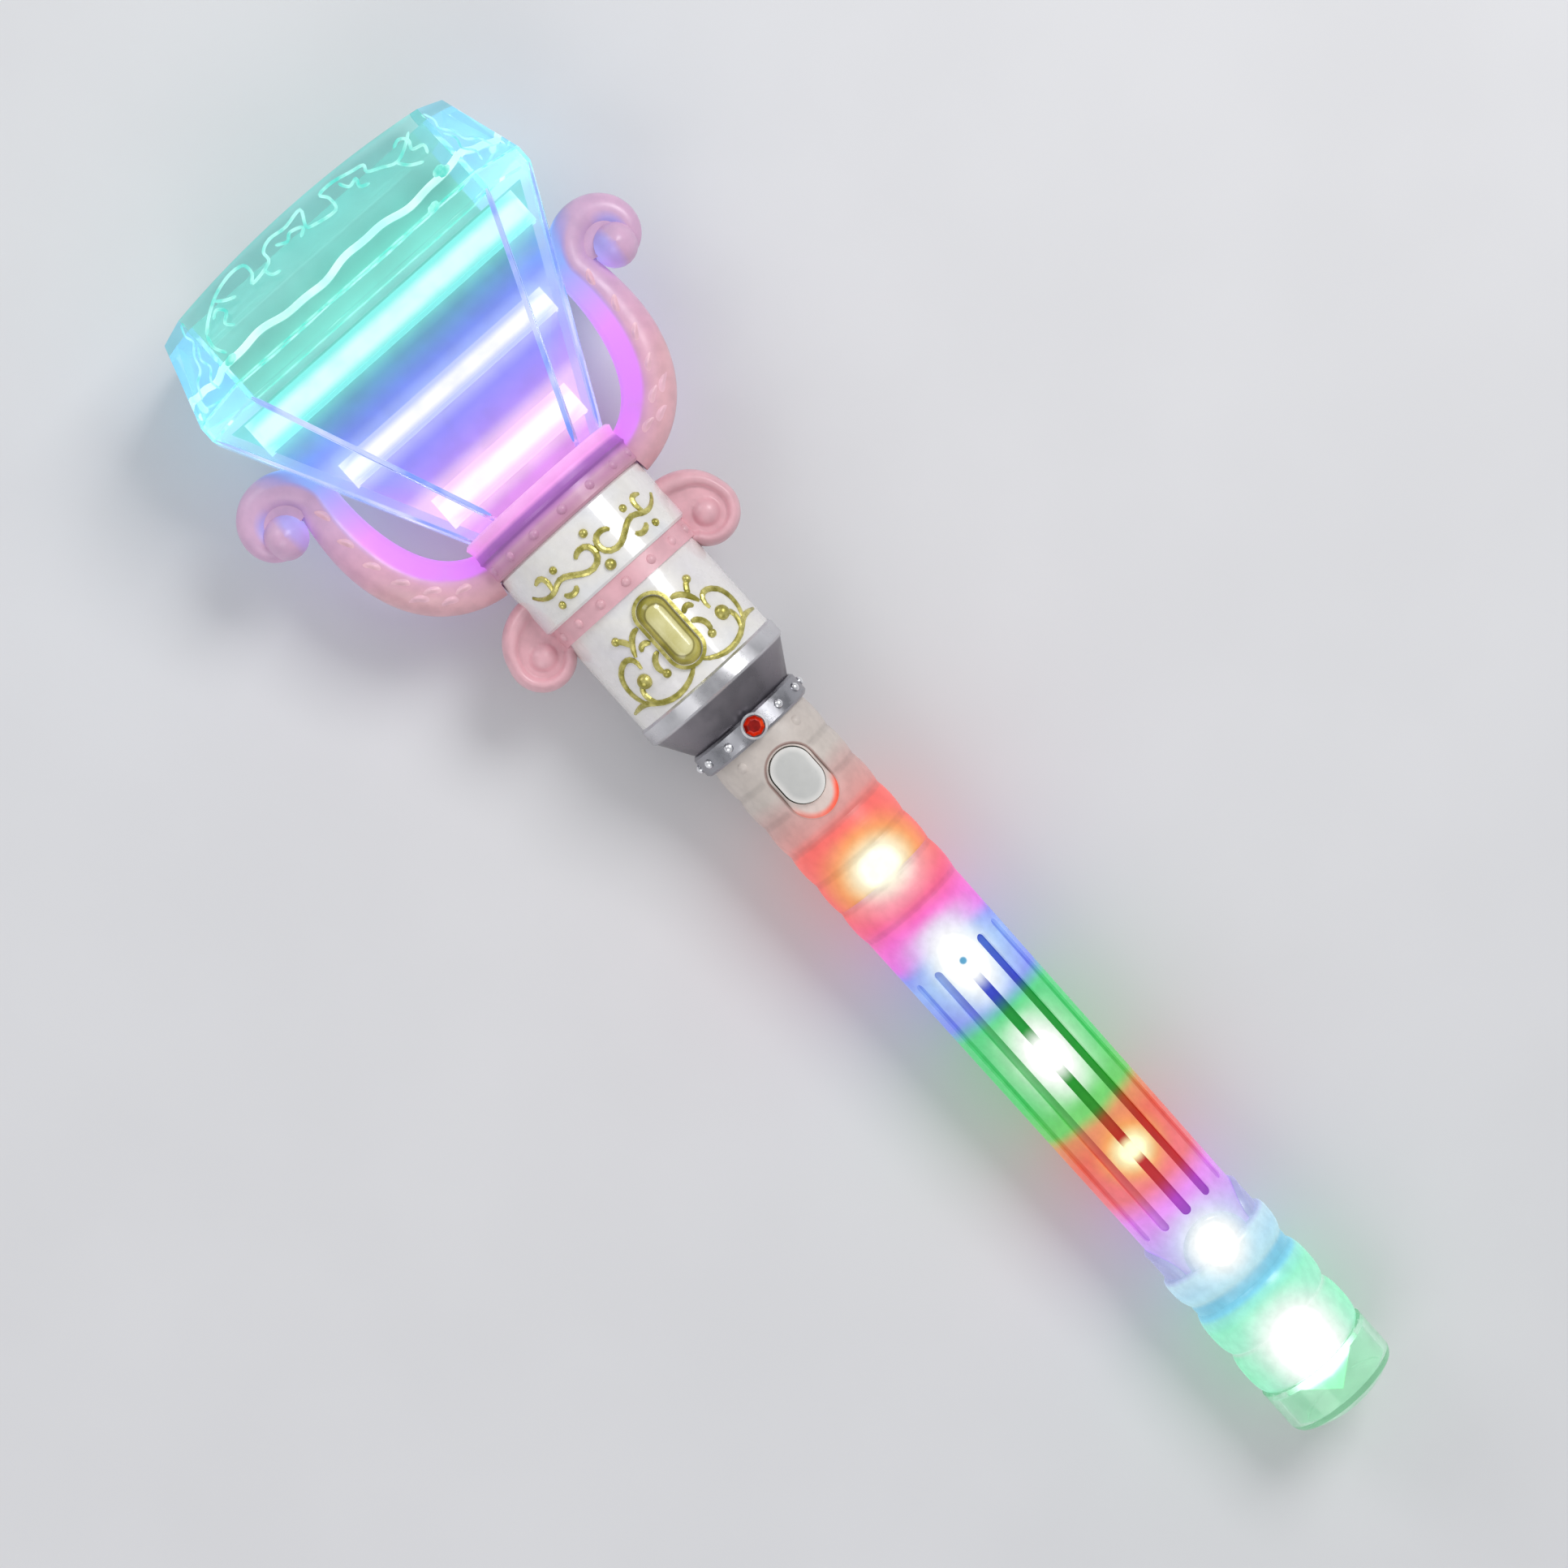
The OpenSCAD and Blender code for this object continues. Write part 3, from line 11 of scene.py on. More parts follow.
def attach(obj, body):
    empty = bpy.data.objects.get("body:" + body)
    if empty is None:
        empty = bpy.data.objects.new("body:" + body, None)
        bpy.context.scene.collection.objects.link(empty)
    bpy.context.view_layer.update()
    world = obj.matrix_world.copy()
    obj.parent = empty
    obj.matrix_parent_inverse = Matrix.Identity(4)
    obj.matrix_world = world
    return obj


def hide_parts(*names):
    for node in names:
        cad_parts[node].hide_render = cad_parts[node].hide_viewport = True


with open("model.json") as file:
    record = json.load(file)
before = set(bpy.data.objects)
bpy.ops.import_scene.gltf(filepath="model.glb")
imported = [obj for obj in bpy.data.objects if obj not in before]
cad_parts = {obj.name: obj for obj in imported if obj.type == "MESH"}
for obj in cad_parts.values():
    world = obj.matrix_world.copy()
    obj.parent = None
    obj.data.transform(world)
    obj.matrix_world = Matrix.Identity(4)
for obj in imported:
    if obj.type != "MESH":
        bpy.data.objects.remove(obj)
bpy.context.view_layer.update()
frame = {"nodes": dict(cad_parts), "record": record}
nodes = frame["nodes"]
scene = bpy.context.scene

# Wand axes in the row frame, from the pommel mount and its height on the shaft in millimetres
MM = 0.001
MOUNT_Z = 11.05
mount = frame["record"]["mounts"][0]
ALONG = -Vector(mount["axis"]).normalized()
RIGHT = Vector((0, -1, 0))
FRONT = RIGHT.cross(ALONG)
ORIGIN = Vector(mount["pos_m"]) - ALONG * (MOUNT_Z * MM)


def spot(x, f, z):
    """Point of the row frame from millimetres across, in front of and along the wand."""
    return ORIGIN + (RIGHT * x + FRONT * f + ALONG * z) * MM


def span(name):
    """Lowest and highest place of a CAD node along the wand, in millimetres."""
    places = [(v.co - ORIGIN).dot(ALONG) / MM for v in nodes[name].data.vertices]
    return min(places), max(places)


def middle(name):
    """Place of a CAD node's middle along the wand, in millimetres."""
    return sum(span(name)) / 2


def rgb(*srgb):
    """Screen colour, 0 to 255, as linear light."""
    return tuple(((c / 255 + 0.055) / 1.055) ** 2.4 if c > 10 else c / 3294.6 for c in srgb)


def bands(*rows):
    """Stops of a ramp, from rows of a place and a screen colour."""
    return [(place, rgb(*colour)) for place, *colour in rows]


WHITE = (1.0, 1.0, 1.0)


class Look:
    """A material built node by node; most helpers return the socket that they make."""

    def __init__(self, name, **values):
        self.material = bpy.data.materials.new(name)
        self.material.use_nodes = True
        self.tree = self.material.node_tree
        self.shader = self.tree.nodes["Principled BSDF"]
        self.coords = self.tree.nodes.new("ShaderNodeTexCoord").outputs["Object"]
        for key, value in values.items():
            self.give(key.replace("_", " "), value)

    def put(self, socket, value):
        """Sets or links an input of any node."""
        if isinstance(value, bpy.types.NodeSocket):
            self.tree.links.new(value, socket)
        elif socket.type == "RGBA" and len(value) == 3:
            socket.default_value = (*value, 1)
        else:
            socket.default_value = value

    def give(self, name, value):
        """Sets or links an input of the shader."""
        self.put(self.shader.inputs[name], value)

    def math(self, operation, *values, clamp=False):
        node = self.tree.nodes.new("ShaderNodeMath")
        node.operation = operation
        node.use_clamp = clamp
        for socket, value in zip(node.inputs, values):
            self.put(socket, value)
        return node.outputs[0]

    def product(self, first, *others):
        """All the values multiplied together."""
        for value in others:
            first = self.math("MULTIPLY", first, value)
        return first

    def inverse(self, value):
        """One less the value."""
        return self.math("SUBTRACT", 1.0, value)

    def length(self, a, b):
        """Length of a step with two parts at right angles."""
        return self.math("SQRT", self.math("ADD", *(self.math("POWER", part, 2) for part in (a, b))))

    def off(self, value, centre):
        """How far a value is from a centre, either way."""
        return self.math("ABSOLUTE", self.math("SUBTRACT", value, centre))

    def vector(self, operation, a, b, out="Value"):
        node = self.tree.nodes.new("ShaderNodeVectorMath")
        node.operation = operation
        self.put(node.inputs[0], a)
        self.put(node.inputs[1], b)
        return node.outputs[out]

    def reach(self, direction):
        """Millimetres from the wand's origin along a direction."""
        from_origin = self.vector("SUBTRACT", self.coords, ORIGIN, "Vector")
        return self.product(self.vector("DOT_PRODUCT", from_origin, direction), 1 / MM)

    def radius(self):
        """Millimetres from the wand's axis."""
        return self.length(self.reach(RIGHT), self.reach(FRONT))

    def capsule(self, centre, rest):
        """Millimetres across and along the wand from a line of half length rest, about a place on it."""
        along = self.math("SUBTRACT", self.off(self.reach(ALONG), centre), rest)
        return self.length(self.reach(RIGHT), self.math("MAXIMUM", along, 0.0))

    def turned(self, direction):
        """How far the surface faces a direction, -1 to 1 for one of unit length."""
        normal = self.tree.nodes.new("ShaderNodeNewGeometry").outputs["Normal"]
        return self.vector("DOT_PRODUCT", normal, direction)

    def smooth(self, value, low, high, out_low=0.0, out_high=1.0):
        """Soft step from out_low at low to out_high at high; low may be the higher of the two."""
        node = self.tree.nodes.new("ShaderNodeMapRange")
        node.interpolation_type = "SMOOTHSTEP"
        names = ("Value", "From Min", "From Max", "To Min", "To Max")
        for name, v in zip(names, (value, low, high, out_low, out_high)):
            self.put(node.inputs[name], v)
        return node.outputs["Result"]

    def ramp(self, value, stops, mode="LINEAR"):
        """Colour at a value, from stops of a value and a colour."""
        low, high = stops[0][0], stops[-1][0]
        share = self.math("DIVIDE", self.math("SUBTRACT", value, low), high - low, clamp=True)
        node = self.tree.nodes.new("ShaderNodeValToRGB")
        node.color_ramp.interpolation = mode
        marks = node.color_ramp.elements
        marks.remove(marks[-1])
        for i, (place, colour) in enumerate(stops):
            at = (place - low) / (high - low)
            mark = marks[0] if i == 0 else marks.new(at)
            mark.position = at
            mark.color = (*colour, 1)
        self.put(node.inputs[0], share)
        return node.outputs[0]

    def steps(self, value, stops, full=1.0):
        """Number that jumps at stops of a value and a number; full brings the numbers near one."""
        shades = [(place, (number / full,) * 3) for place, number in stops]
        return self.product(self.ramp(value, shades, "CONSTANT"), full)

    def mix(self, factor, a, b):
        node = self.tree.nodes.new("ShaderNodeMix")
        node.data_type = "RGBA"
        for index, value in ((0, factor), (6, a), (7, b)):
            self.put(node.inputs[index], value)
        return node.outputs[2]

    def times(self, colour, value):
        """Colour multiplied by a number, a colour or the socket of a number."""
        if isinstance(value, (int, float)):
            value = (value,) * 3
        elif isinstance(value, bpy.types.NodeSocket):
            triple = self.tree.nodes.new("ShaderNodeCombineXYZ")
            for socket in triple.inputs:
                self.put(socket, value)
            value = triple.outputs[0]
        return self.vector("MULTIPLY", colour, value, "Vector")

    def noise(self, scale, detail=3.0):
        node = self.tree.nodes.new("ShaderNodeTexNoise")
        node.inputs["Scale"].default_value = scale
        node.inputs["Detail"].default_value = detail
        self.put(node.inputs["Vector"], self.coords)
        return node.outputs["Fac"]

    def cloud(self, scale, detail, low, high):
        """Number that drifts over the surface between two values."""
        return self.smooth(self.noise(scale, detail), 0.3, 0.7, low, high)

    def speckle(self, colour, scale, low, high):
        """The colour with a soft cloud of lighter and darker places."""
        return self.times(colour, self.cloud(scale, 3, low, high))

    def gloss(self, scale, detail, low, high):
        """Makes the roughness uneven."""
        self.give("Roughness", self.cloud(scale, detail, low, high))

    def skin(self, scale, detail, strength, depth=0.0002):
        """Gives the surface fine bumps."""
        node = self.tree.nodes.new("ShaderNodeBump")
        node.inputs["Strength"].default_value = strength
        node.inputs["Distance"].default_value = depth
        self.put(node.inputs["Height"], self.noise(scale, detail))
        self.give("Normal", node.outputs[0])

    def glow(self, colour, strength=1.0):
        self.give("Emission Color", colour)
        self.give("Emission Strength", strength)


def dress(look, *names):
    """Puts a look on every material slot of the named CAD nodes."""
    for name in names:
        mesh = nodes[name].data
        if not mesh.materials:
            mesh.materials.append(look.material)
        for i in range(len(mesh.materials)):
            mesh.materials[i] = look.material


# Colours of the lit handle and of the pommel sleeve, in millimetres from the pommel end
HANDLE_COLOURS = bands(
    (0.0, 140, 235, 185), (14.0, 150, 250, 205), (36.0, 150, 250, 210), (44.0, 150, 225, 250),
    (48.0, 190, 180, 240), (60.0, 202, 172, 248), (70.0, 240, 150, 250), (76.0, 248, 125, 135),
    (88.0, 245, 115, 95), (94.0, 235, 150, 100), (97.5, 120, 215, 110), (110.0, 85, 220, 120),
    (129.0, 95, 220, 140), (133.5, 135, 150, 250), (145.0, 150, 185, 255), (149.5, 140, 150, 252),
    (152.5, 235, 120, 240), (158.0, 255, 115, 215), (163.0, 255, 105, 150), (170.0, 255, 110, 105),
    (187.0, 255, 115, 108), (190.5, 222, 155, 150), (199.0, 212, 178, 172), (203.0, 207, 196, 188),
    (230.0, 200, 192, 186),
)
# The sleeve's pale line at 28.5 mm, where its two rings meet, is a painted highlight
SLEEVE_COLOURS = bands(
    (0.0, 140, 235, 185), (15.5, 150, 250, 205), (22.0, 140, 250, 195), (27.7, 150, 248, 200),
    (28.5, 215, 255, 235), (29.3, 150, 248, 205), (36.0, 145, 248, 205), (39.0, 155, 240, 225),
    (40.2, 138, 226, 252), (43.4, 142, 222, 252), (44.6, 190, 240, 252), (48.0, 182, 226, 246),
    (51.5, 198, 232, 248), (53.0, 180, 186, 240), (66.0, 200, 190, 245),
)

# Hot spots over the six lamps, each value from a place on the wand onwards: half width, squeeze, colours
LED_FIRST, LED_PITCH = 24.4, 30.1
SPOT_FULL = 20
SPOT_SIZES = [
    (0.0, 14.8), (39.4, 10.0), (69.5, 7.6), (99.6, 9.6), (129.7, 10.4), (159.8, 11.6), (240.0, 11.6),
]
SPOT_SQUEEZE = [
    (0.0, 0.5), (LED_FIRST, 0.95), (39.4, 0.9), (69.5, 1.1), (99.6, 0.66), (159.8, 1.15), (240.0, 1.15),
]
SPOT_TINTS = bands(
    (0.0, 200, 255, 230), (40.0, 222, 250, 255), (69.5, 255, 205, 84), (99.6, 225, 255, 225),
    (129.7, 215, 245, 255), (159.8, 255, 214, 222), (170.9, 255, 216, 96), (240.0, 255, 216, 96),
)
SPOT_CORES = bands(
    (0.0, 255, 255, 252), (69.5, 255, 248, 196), (99.6, 255, 255, 252), (159.8, 255, 253, 226),
    (240.0, 255, 253, 226),
)

# Places and sizes on the handle and the pommel sleeve, in millimetres
FLUTE_LOW, FLUTE_HIGH, FLUTE_R, LAND_R = 59, 159, 12.75, 13.0
PIN_Z, PIN_R = 145, 0.6
RIB_LOW, RIB_PITCH, RIBS_END = 161.8, 9.1, 211
DISH_Z, DISH_REST, DISH_R = 202.1, 3.35, 6.6
SLEEVE_LOW, SLEEVE_R, WAIST_R, BORE_R = 15.9, 15.5, 14.1, 13.38


def flute_floor(look, x, z, radius):
    """Where the surface is the floor of a flute, most of all in the middle and on the right."""
    return look.product(
        look.smooth(radius, LAND_R, FLUTE_R),
        look.smooth(z, FLUTE_LOW - 1, FLUTE_LOW + 1),
        look.smooth(z, FLUTE_HIGH + 1, FLUTE_HIGH - 1),
        look.smooth(x, -9, -3, 0.35, 1.0),
        look.smooth(x, 11, 8, 0.35, 1.0),
    )


def lamp_spots(look, x, f, z, flute):
    """Halo and core of the hot spots on the front."""
    turn = look.math("DIVIDE", look.math("SUBTRACT", z, LED_FIRST), LED_PITCH)
    along = look.product(look.math("SUBTRACT", turn, look.math("ROUND", turn)), LED_PITCH)
    fade = look.smooth(look.math("ABSOLUTE", along), LED_PITCH / 2, LED_PITCH / 2 - 5)
    away = look.length(x, look.product(along, look.steps(z, SPOT_SQUEEZE)))
    far = look.math("DIVIDE", away, look.steps(z, SPOT_SIZES, SPOT_FULL))
    # A flute cuts into the hot spot
    far = look.product(far, look.smooth(flute, 0.0, 1.0, 1.0, 1.6))
    facing = look.product(look.smooth(f, 1, 8), look.smooth(z, 191, 184))
    halo = look.product(look.smooth(far, 1.5, 0.3), facing, fade)
    return halo, look.product(look.smooth(far, 0.95, 0.3), facing)


def rib_groove_shade(look, z, dish):
    """Painted shade in the shallow steps between the six ribs, as far as the button's dish."""
    step = look.math("DIVIDE", look.math("SUBTRACT", z, RIB_LOW), RIB_PITCH)
    return look.product(
        look.smooth(look.off(step, look.math("ROUND", step)), 0.17, 0.02),
        look.smooth(z, RIB_LOW - 1.3, RIB_LOW - 0.3),
        look.smooth(z, RIBS_END + 1, RIBS_END - 1),
        look.inverse(look.smooth(dish, DISH_R + 1.4, DISH_R)),
    )


def button_dish(look, colour, x, f, z, dish):
    """Pale floor in a fine rim of painted shade, heavier towards the head; lamp light leaks into its lower
    edge.
    """
    front = look.smooth(f, 8, 11)
    inside = look.product(look.smooth(dish, DISH_R, DISH_R - 0.3), front)
    colour = look.mix(look.product(inside, 0.8), colour, rgb(226, 214, 206))
    line = look.product(
        look.smooth(dish, DISH_R - 0.7, DISH_R - 0.25),
        look.smooth(dish, DISH_R + 0.3, DISH_R - 0.1),
        front,
        look.smooth(z, 195, 201, 0.3, 0.85),
    )
    colour = look.mix(line, colour, rgb(150, 116, 108))
    leak = look.product(
        look.smooth(dish, DISH_R - 2.0, DISH_R - 0.6),
        inside,
        look.smooth(z, 200.0, 195.5),
        look.smooth(x, -7, 4, 0.45, 1.0),
    )
    return look.mix(leak, colour, rgb(255, 100, 72)), leak


def lit_shell(name, stops, share, roughness, drift=0.0, waist_shade=(1.0, 1.0)):
    """Frosted plastic lit from inside; drift moves its bands, and waist sets the painted shade where it is
    narrow.
    """
    look = Look(name, Roughness=roughness, IOR=1.46)
    z, x, f = (look.reach(d) for d in (ALONG, RIGHT, FRONT))
    radius = look.radius()
    colour = look.ramp(look.math("ADD", z, look.cloud(45, 1, -drift, drift)), stops)
    colour = look.times(colour, look.smooth(radius, WAIST_R, SLEEVE_R - 0.2, *waist_shade))
    # Deeper, darker colour for the flute floors: painted shade in the grooves
    deep = look.times(look.vector("MULTIPLY", colour, colour, "Vector"), 0.6)
    flute = flute_floor(look, x, z, radius)
    halo, core = lamp_spots(look, x, f, z, flute)
    colour = look.mix(look.product(halo, 0.8), colour, look.ramp(z, SPOT_TINTS, "CONSTANT"))
    colour = look.mix(look.product(flute, look.inverse(look.product(core, 0.5))), colour, deep)
    colour = look.mix(core, colour, look.ramp(z, SPOT_CORES, "CONSTANT"))
    # Pinhole over the fifth lamp from the pommel
    pin = look.length(x, look.math("SUBTRACT", z, PIN_Z))
    pin = look.product(look.smooth(pin, PIN_R + 0.65, PIN_R), look.smooth(f, 6, 9))
    colour = look.mix(pin, colour, rgb(84, 150, 186))
    dish = look.capsule(DISH_Z, DISH_REST)
    # Painted shade in the steps between the ribs
    colour = look.times(colour, look.smooth(rib_groove_shade(look, z, dish), 0.0, 1.0, 1.0, 0.86))
    colour, leak = button_dish(look, colour, x, f, z, dish)
    grain = look.speckle(colour, 420, 0.94, 1.04)
    # The plain white end by the button is hardly lit, so it mostly reflects
    lit = look.math("MAXIMUM", look.smooth(z, 200, 187, 0.1, share), look.product(leak, 0.6))
    lit = look.math("MAXIMUM", lit, look.product(core, 1.2))
    look.give("Base Color", look.times(grain, look.inverse(look.math("MINIMUM", lit, 0.9))))
    look.glow(look.times(grain, lit))
    look.skin(1500, 4, 0.1)
    return look


handle_look = lit_shell("frosted_lit_shell", HANDLE_COLOURS, 0.58, 0.4, drift=1.0)
dress(handle_look, "handle_front", "handle_back", "battery_door")
ring_look = lit_shell("mint_lit_rings", SLEEVE_COLOURS, 0.48, 0.25, waist_shade=(0.85, 1.04))

# Clear domed cap and the lit core inside it
CAP_TINTS = bands((0.0, 222, 243, 230), (9.0, 226, 246, 235), (SLEEVE_LOW, 228, 250, 239))
CORE_COLOURS = bands(
    (8.6, 120, 226, 150), (10.0, 150, 244, 180), (11.4, 245, 255, 250), (20.0, 255, 255, 255),
)


def cap_look():
    look = Look("clear_green_cap", Roughness=0.1, IOR=1.45, Transmission_Weight=0.9)
    tint = look.speckle(look.ramp(look.reach(ALONG), CAP_TINTS), 160, 0.93, 1.04)
    look.give("Base Color", tint)
    # Faint painted glow: the core's light in the cap
    look.glow(look.times(tint, (0.4, 1.0, 0.6)), 0.07)
    return look


def core_look():
    """White core, green at its tip and dim at its two sides."""
    look = Look("pommel_light_core", Roughness=0.25)
    wing = look.smooth(look.math("ABSOLUTE", look.reach(RIGHT)), 5.5, 10.5)
    dim = look.times(rgb(150, 240, 190), 0.45)
    colour = look.mix(wing, look.ramp(look.reach(ALONG), CORE_COLOURS), dim)
    look.give("Base Color", look.times(colour, 0.3))
    look.glow(look.times(colour, look.smooth(look.noise(260, 2), 0.35, 0.65, 0.9, 1.05)), 1.9)
    return look


dress(cap_look(), "end_cap")
dress(core_look(), "pommel_core")


def plastic(look, colour, roughness, scale=350, low=0.94, high=1.04):
    """Moulded plastic: a faint cloud in its colour, uneven gloss and a fine moulded skin."""
    look.give("IOR", 1.48)
    look.give("Coat Roughness", 0.06)
    look.give("Base Color", look.speckle(colour, scale, low, high))
    look.gloss(scale * 0.7, 4, roughness * 0.85, roughness * 1.2)
    look.skin(scale * 4, 4, 0.08)
    return look


def metal(look, colour, roughness, scale, low, high):
    """Plated metal with soft wear in its gloss."""
    look.give("Metallic", 1.0)
    look.give("Base Color", look.speckle(colour, scale, low, high))
    look.gloss(scale, 5, roughness * 0.7, roughness * 1.5)
    look.skin(scale * 3, 4, 0.06)
    return look


# Button, jewel band and flared cone
BUTTON_R, BUTTON_REST = 5.25, 1.85
BAND_R, STUD_H = 15.6, 0.5
RIM_LEN = 4.8


def button_look():
    """Grey button whose rim is painted paler, as a painted highlight."""
    look = Look("button_grey", Coat_Weight=0.3)
    edge = look.capsule(middle("button_cap"), BUTTON_REST)
    rim = look.smooth(edge, BUTTON_R - 1.7, BUTTON_R - 0.2)
    colour = look.mix(rim, rgb(200, 200, 197), rgb(224, 222, 218))
    return plastic(look, colour, 0.3, low=0.97, high=1.02)


def band_look():
    """Silver band with a painted highlight on its studs."""
    look = Look("bright_silver")
    stud_highlight = look.smooth(look.radius(), BAND_R + 0.1, BAND_R + STUD_H)
    colour = look.mix(stud_highlight, rgb(168, 168, 173), rgb(246, 246, 248))
    return metal(look, colour, 0.3, 300, 0.92, 1.04)


def cone_look():
    """Silver cone with a painted dark reflection, darkest at its bottom, and a painted highlight on its
    rim.
    """
    look = Look("flared_silver")
    low, high = span("flare_cone")
    rim = high - RIM_LEN
    stops = bands(
        (low, 112, 108, 114), (low + 4.0, 134, 129, 134), (rim - 0.2, 146, 141, 146),
        (rim + 0.2, 210, 209, 212), (high, 222, 221, 224),
    )
    return metal(look, look.ramp(look.reach(ALONG), stops), 0.28, 160, 0.92, 1.04)


dress(button_look(), "button_cap")
dress(band_look(), "jewel_band")
dress(cone_look(), "flare_cone")

# Red cut stone, pearl white neck, gold relief and cabochon
STONE_R, STONE_REST = 2.4, 4.6
OLD_GOLD = rgb(158, 150, 58)


def jewel_look():
    """Cut stone with painted light and shade, each facet a red set by the way it faces, and a painted glow.
    """
    look = Look("red_cut_stone", Roughness=0.06, IOR=1.5, Specular_IOR_Level=0.35)
    facet = look.math("FRACT", look.product(look.turned((3.1, 5.3, 1.7)), 1.9))
    facet_light_reds = bands((0.0, 120, 8, 4), (0.5, 205, 40, 12), (1.0, 240, 95, 40))
    stone = look.speckle(look.ramp(facet, facet_light_reds), 900, 0.75, 1.1)
    look.give("Base Color", stone)
    look.glow(stone, 0.35)
    return look


def pearl_look():
    """Pearl white with a soft change of tint."""
    look = Look("pearl_white", IOR=1.5, Coat_Weight=0.7, Coat_Roughness=0.05)
    tints = bands((0.3, 232, 228, 232), (0.5, 238, 235, 230), (0.7, 228, 230, 236))
    look.give("Base Color", look.speckle(look.ramp(look.noise(45), tints), 500, 0.97, 1.02))
    look.gloss(240, 4, 0.2, 0.34)
    look.skin(900, 4, 0.05)
    return look


def gold_look():
    """Antique gold, worn paler in places."""
    look = Look("antique_gold", Metallic=0.55, Coat_Weight=0.4, Coat_Roughness=0.1)
    worn = look.smooth(look.noise(420, 4), 0.35, 0.7)
    look.give("Base Color", look.mix(worn, OLD_GOLD, rgb(222, 212, 128)))
    look.gloss(700, 4, 0.2, 0.42)
    look.skin(1400, 3, 0.2)
    return look


def cabochon_look():
    """Cream stone in a gold frame, with a dark line between them."""
    look = Look("cream_cabochon", IOR=1.55, Coat_Weight=0.8, Coat_Roughness=0.04)
    swirl = look.cloud(150, 4, 0.0, 1.0)
    edge = look.capsule(middle("cabochon"), STONE_REST)
    rim = look.smooth(edge, STONE_R - 0.15, STONE_R + 0.25)
    line = look.product(rim, look.smooth(edge, STONE_R + 0.7, STONE_R + 0.2), 0.75)
    cream = look.mix(swirl, rgb(206, 198, 124), rgb(232, 226, 168))
    gold = look.mix(swirl, OLD_GOLD, rgb(214, 204, 116))
    look.give("Base Color", look.mix(line, look.mix(rim, cream, gold), rgb(118, 108, 40)))
    look.gloss(500, 3, 0.2, 0.34)
    return look


dress(jewel_look(), "red_jewel")
dress(pearl_look(), "neck_lower_sleeve", "neck_upper_sleeve")
dress(gold_look(), "neck_scrolls", "neck_vine")
dress(cabochon_look(), "cabochon")

# Pink mouldings; faces turned to the crystal catch its light
PINK, SCALE_HIGHLIGHT_PINK = rgb(230, 178, 187), rgb(240, 190, 204)
SCROLL_LOW, SCROLL_FULL = 304, 320
ARM_LIGHT = bands((286.0, 225, 130, 250), (312.0, 238, 152, 255), (330.0, 150, 175, 240))
ARM_SPILL_LIGHT = bands((SCROLL_LOW, 190, 138, 196), (SCROLL_FULL, 158, 150, 226))
# Collar colours: painted violet light from the crystal, and painted shade in the collar's groove
COLLAR_LIGHT_COLOURS = bands(
    (283.0, 226, 170, 186), (286.0, 220, 158, 196), (287.2, 226, 172, 206), (288.2, 206, 140, 206),
    (289.0, 160, 96, 178), (291.2, 180, 112, 200), (292.2, 248, 165, 240), (295.2, 255, 185, 248),
)


def satin(name):
    """Satin surface, still without its colour."""
    look = Look(name, IOR=1.48, Coat_Weight=0.15, Coat_Roughness=0.2)
    look.gloss(300, 4, 0.3, 0.46)
    look.skin(1000, 4, 0.1)
    return look


def satin_pink(name, shade=PINK):
    look = satin(name)
    look.give("Base Color", look.speckle(shade, 260, 0.92, 1.05))
    return look


def arm_look(name, side):
    """Satin pink lit by the crystal; side is the way to it, -1 for the arm on the wand's right."""
    look = satin(name)
    z = look.reach(ALONG)
    upward = look.product(look.turned(ALONG), look.smooth(z, 308, 298))
    inner = look.math("MAXIMUM", look.turned(RIGHT * side), upward)
    stem = look.smooth(look.math("ABSOLUTE", look.reach(RIGHT)), 50, 45.5)
    lit = look.product(
        look.smooth(inner, 0.2, 0.48),
        look.smooth(z, 284, 289),
        look.smooth(stem, 0.0, 1.0, 0.12, 1.0),
    )
    near = look.product(look.smooth(inner, -0.35, 0.5), look.smooth(z, 280, 288))
    # Faces near the crystal, in the scroll, take a painted violet tint of its light
    spill_light = look.product(near, look.smooth(z, SCROLL_LOW, SCROLL_FULL, 0.55, 0.72))
    colour = look.mix(spill_light, look.speckle(PINK, 260, 0.92, 1.05), look.ramp(z, ARM_SPILL_LIGHT))
    light = look.ramp(z, ARM_LIGHT)
    look.give("Base Color", look.mix(lit, colour, look.times(light, 0.35)))
    soft = look.product(near, look.smooth(z, SCROLL_LOW, SCROLL_FULL, 0.1, 0.17))
    look.glow(look.times(light, look.math("ADD", look.product(lit, 0.62), soft)))
    return look


def collar_look():
    """Satin pink that turns violet towards the crystal as painted light, with painted shade in its groove.
    """
    look = satin("satin_pink_collar")
    z = look.reach(ALONG)
    rise = look.ramp(z, COLLAR_LIGHT_COLOURS)
    look.give("Base Color", look.times(look.speckle(rise, 260, 0.94, 1.04), 0.7))
    look.glow(look.times(rise, look.smooth(z, 284, 295, 0.08, 0.4)))
    return look


dress(satin_pink("satin_pink"), "neck_band")
dress(collar_look(), "socket_collar")

# Crystal shell, its lit panel and bars; colours of the light along the wand
BELT_Z = 354.2
CRYSTAL_COLOURS = bands(
    (286.0, 245, 165, 240), (297.5, 236, 160, 248), (300.0, 250, 205, 250), (310.0, 244, 205, 252),
    (313.0, 182, 148, 255), (319.5, 146, 142, 252), (322.5, 188, 190, 255), (330.0, 165, 185, 255),
    (333.0, 112, 140, 240), (339.0, 92, 170, 205), (341.5, 116, 214, 212), (351.0, 110, 212, 200),
    (353.5, 104, 206, 190), (356.5, 112, 206, 190), (366.0, 140, 214, 204), (380.0, 128, 212, 208),
)


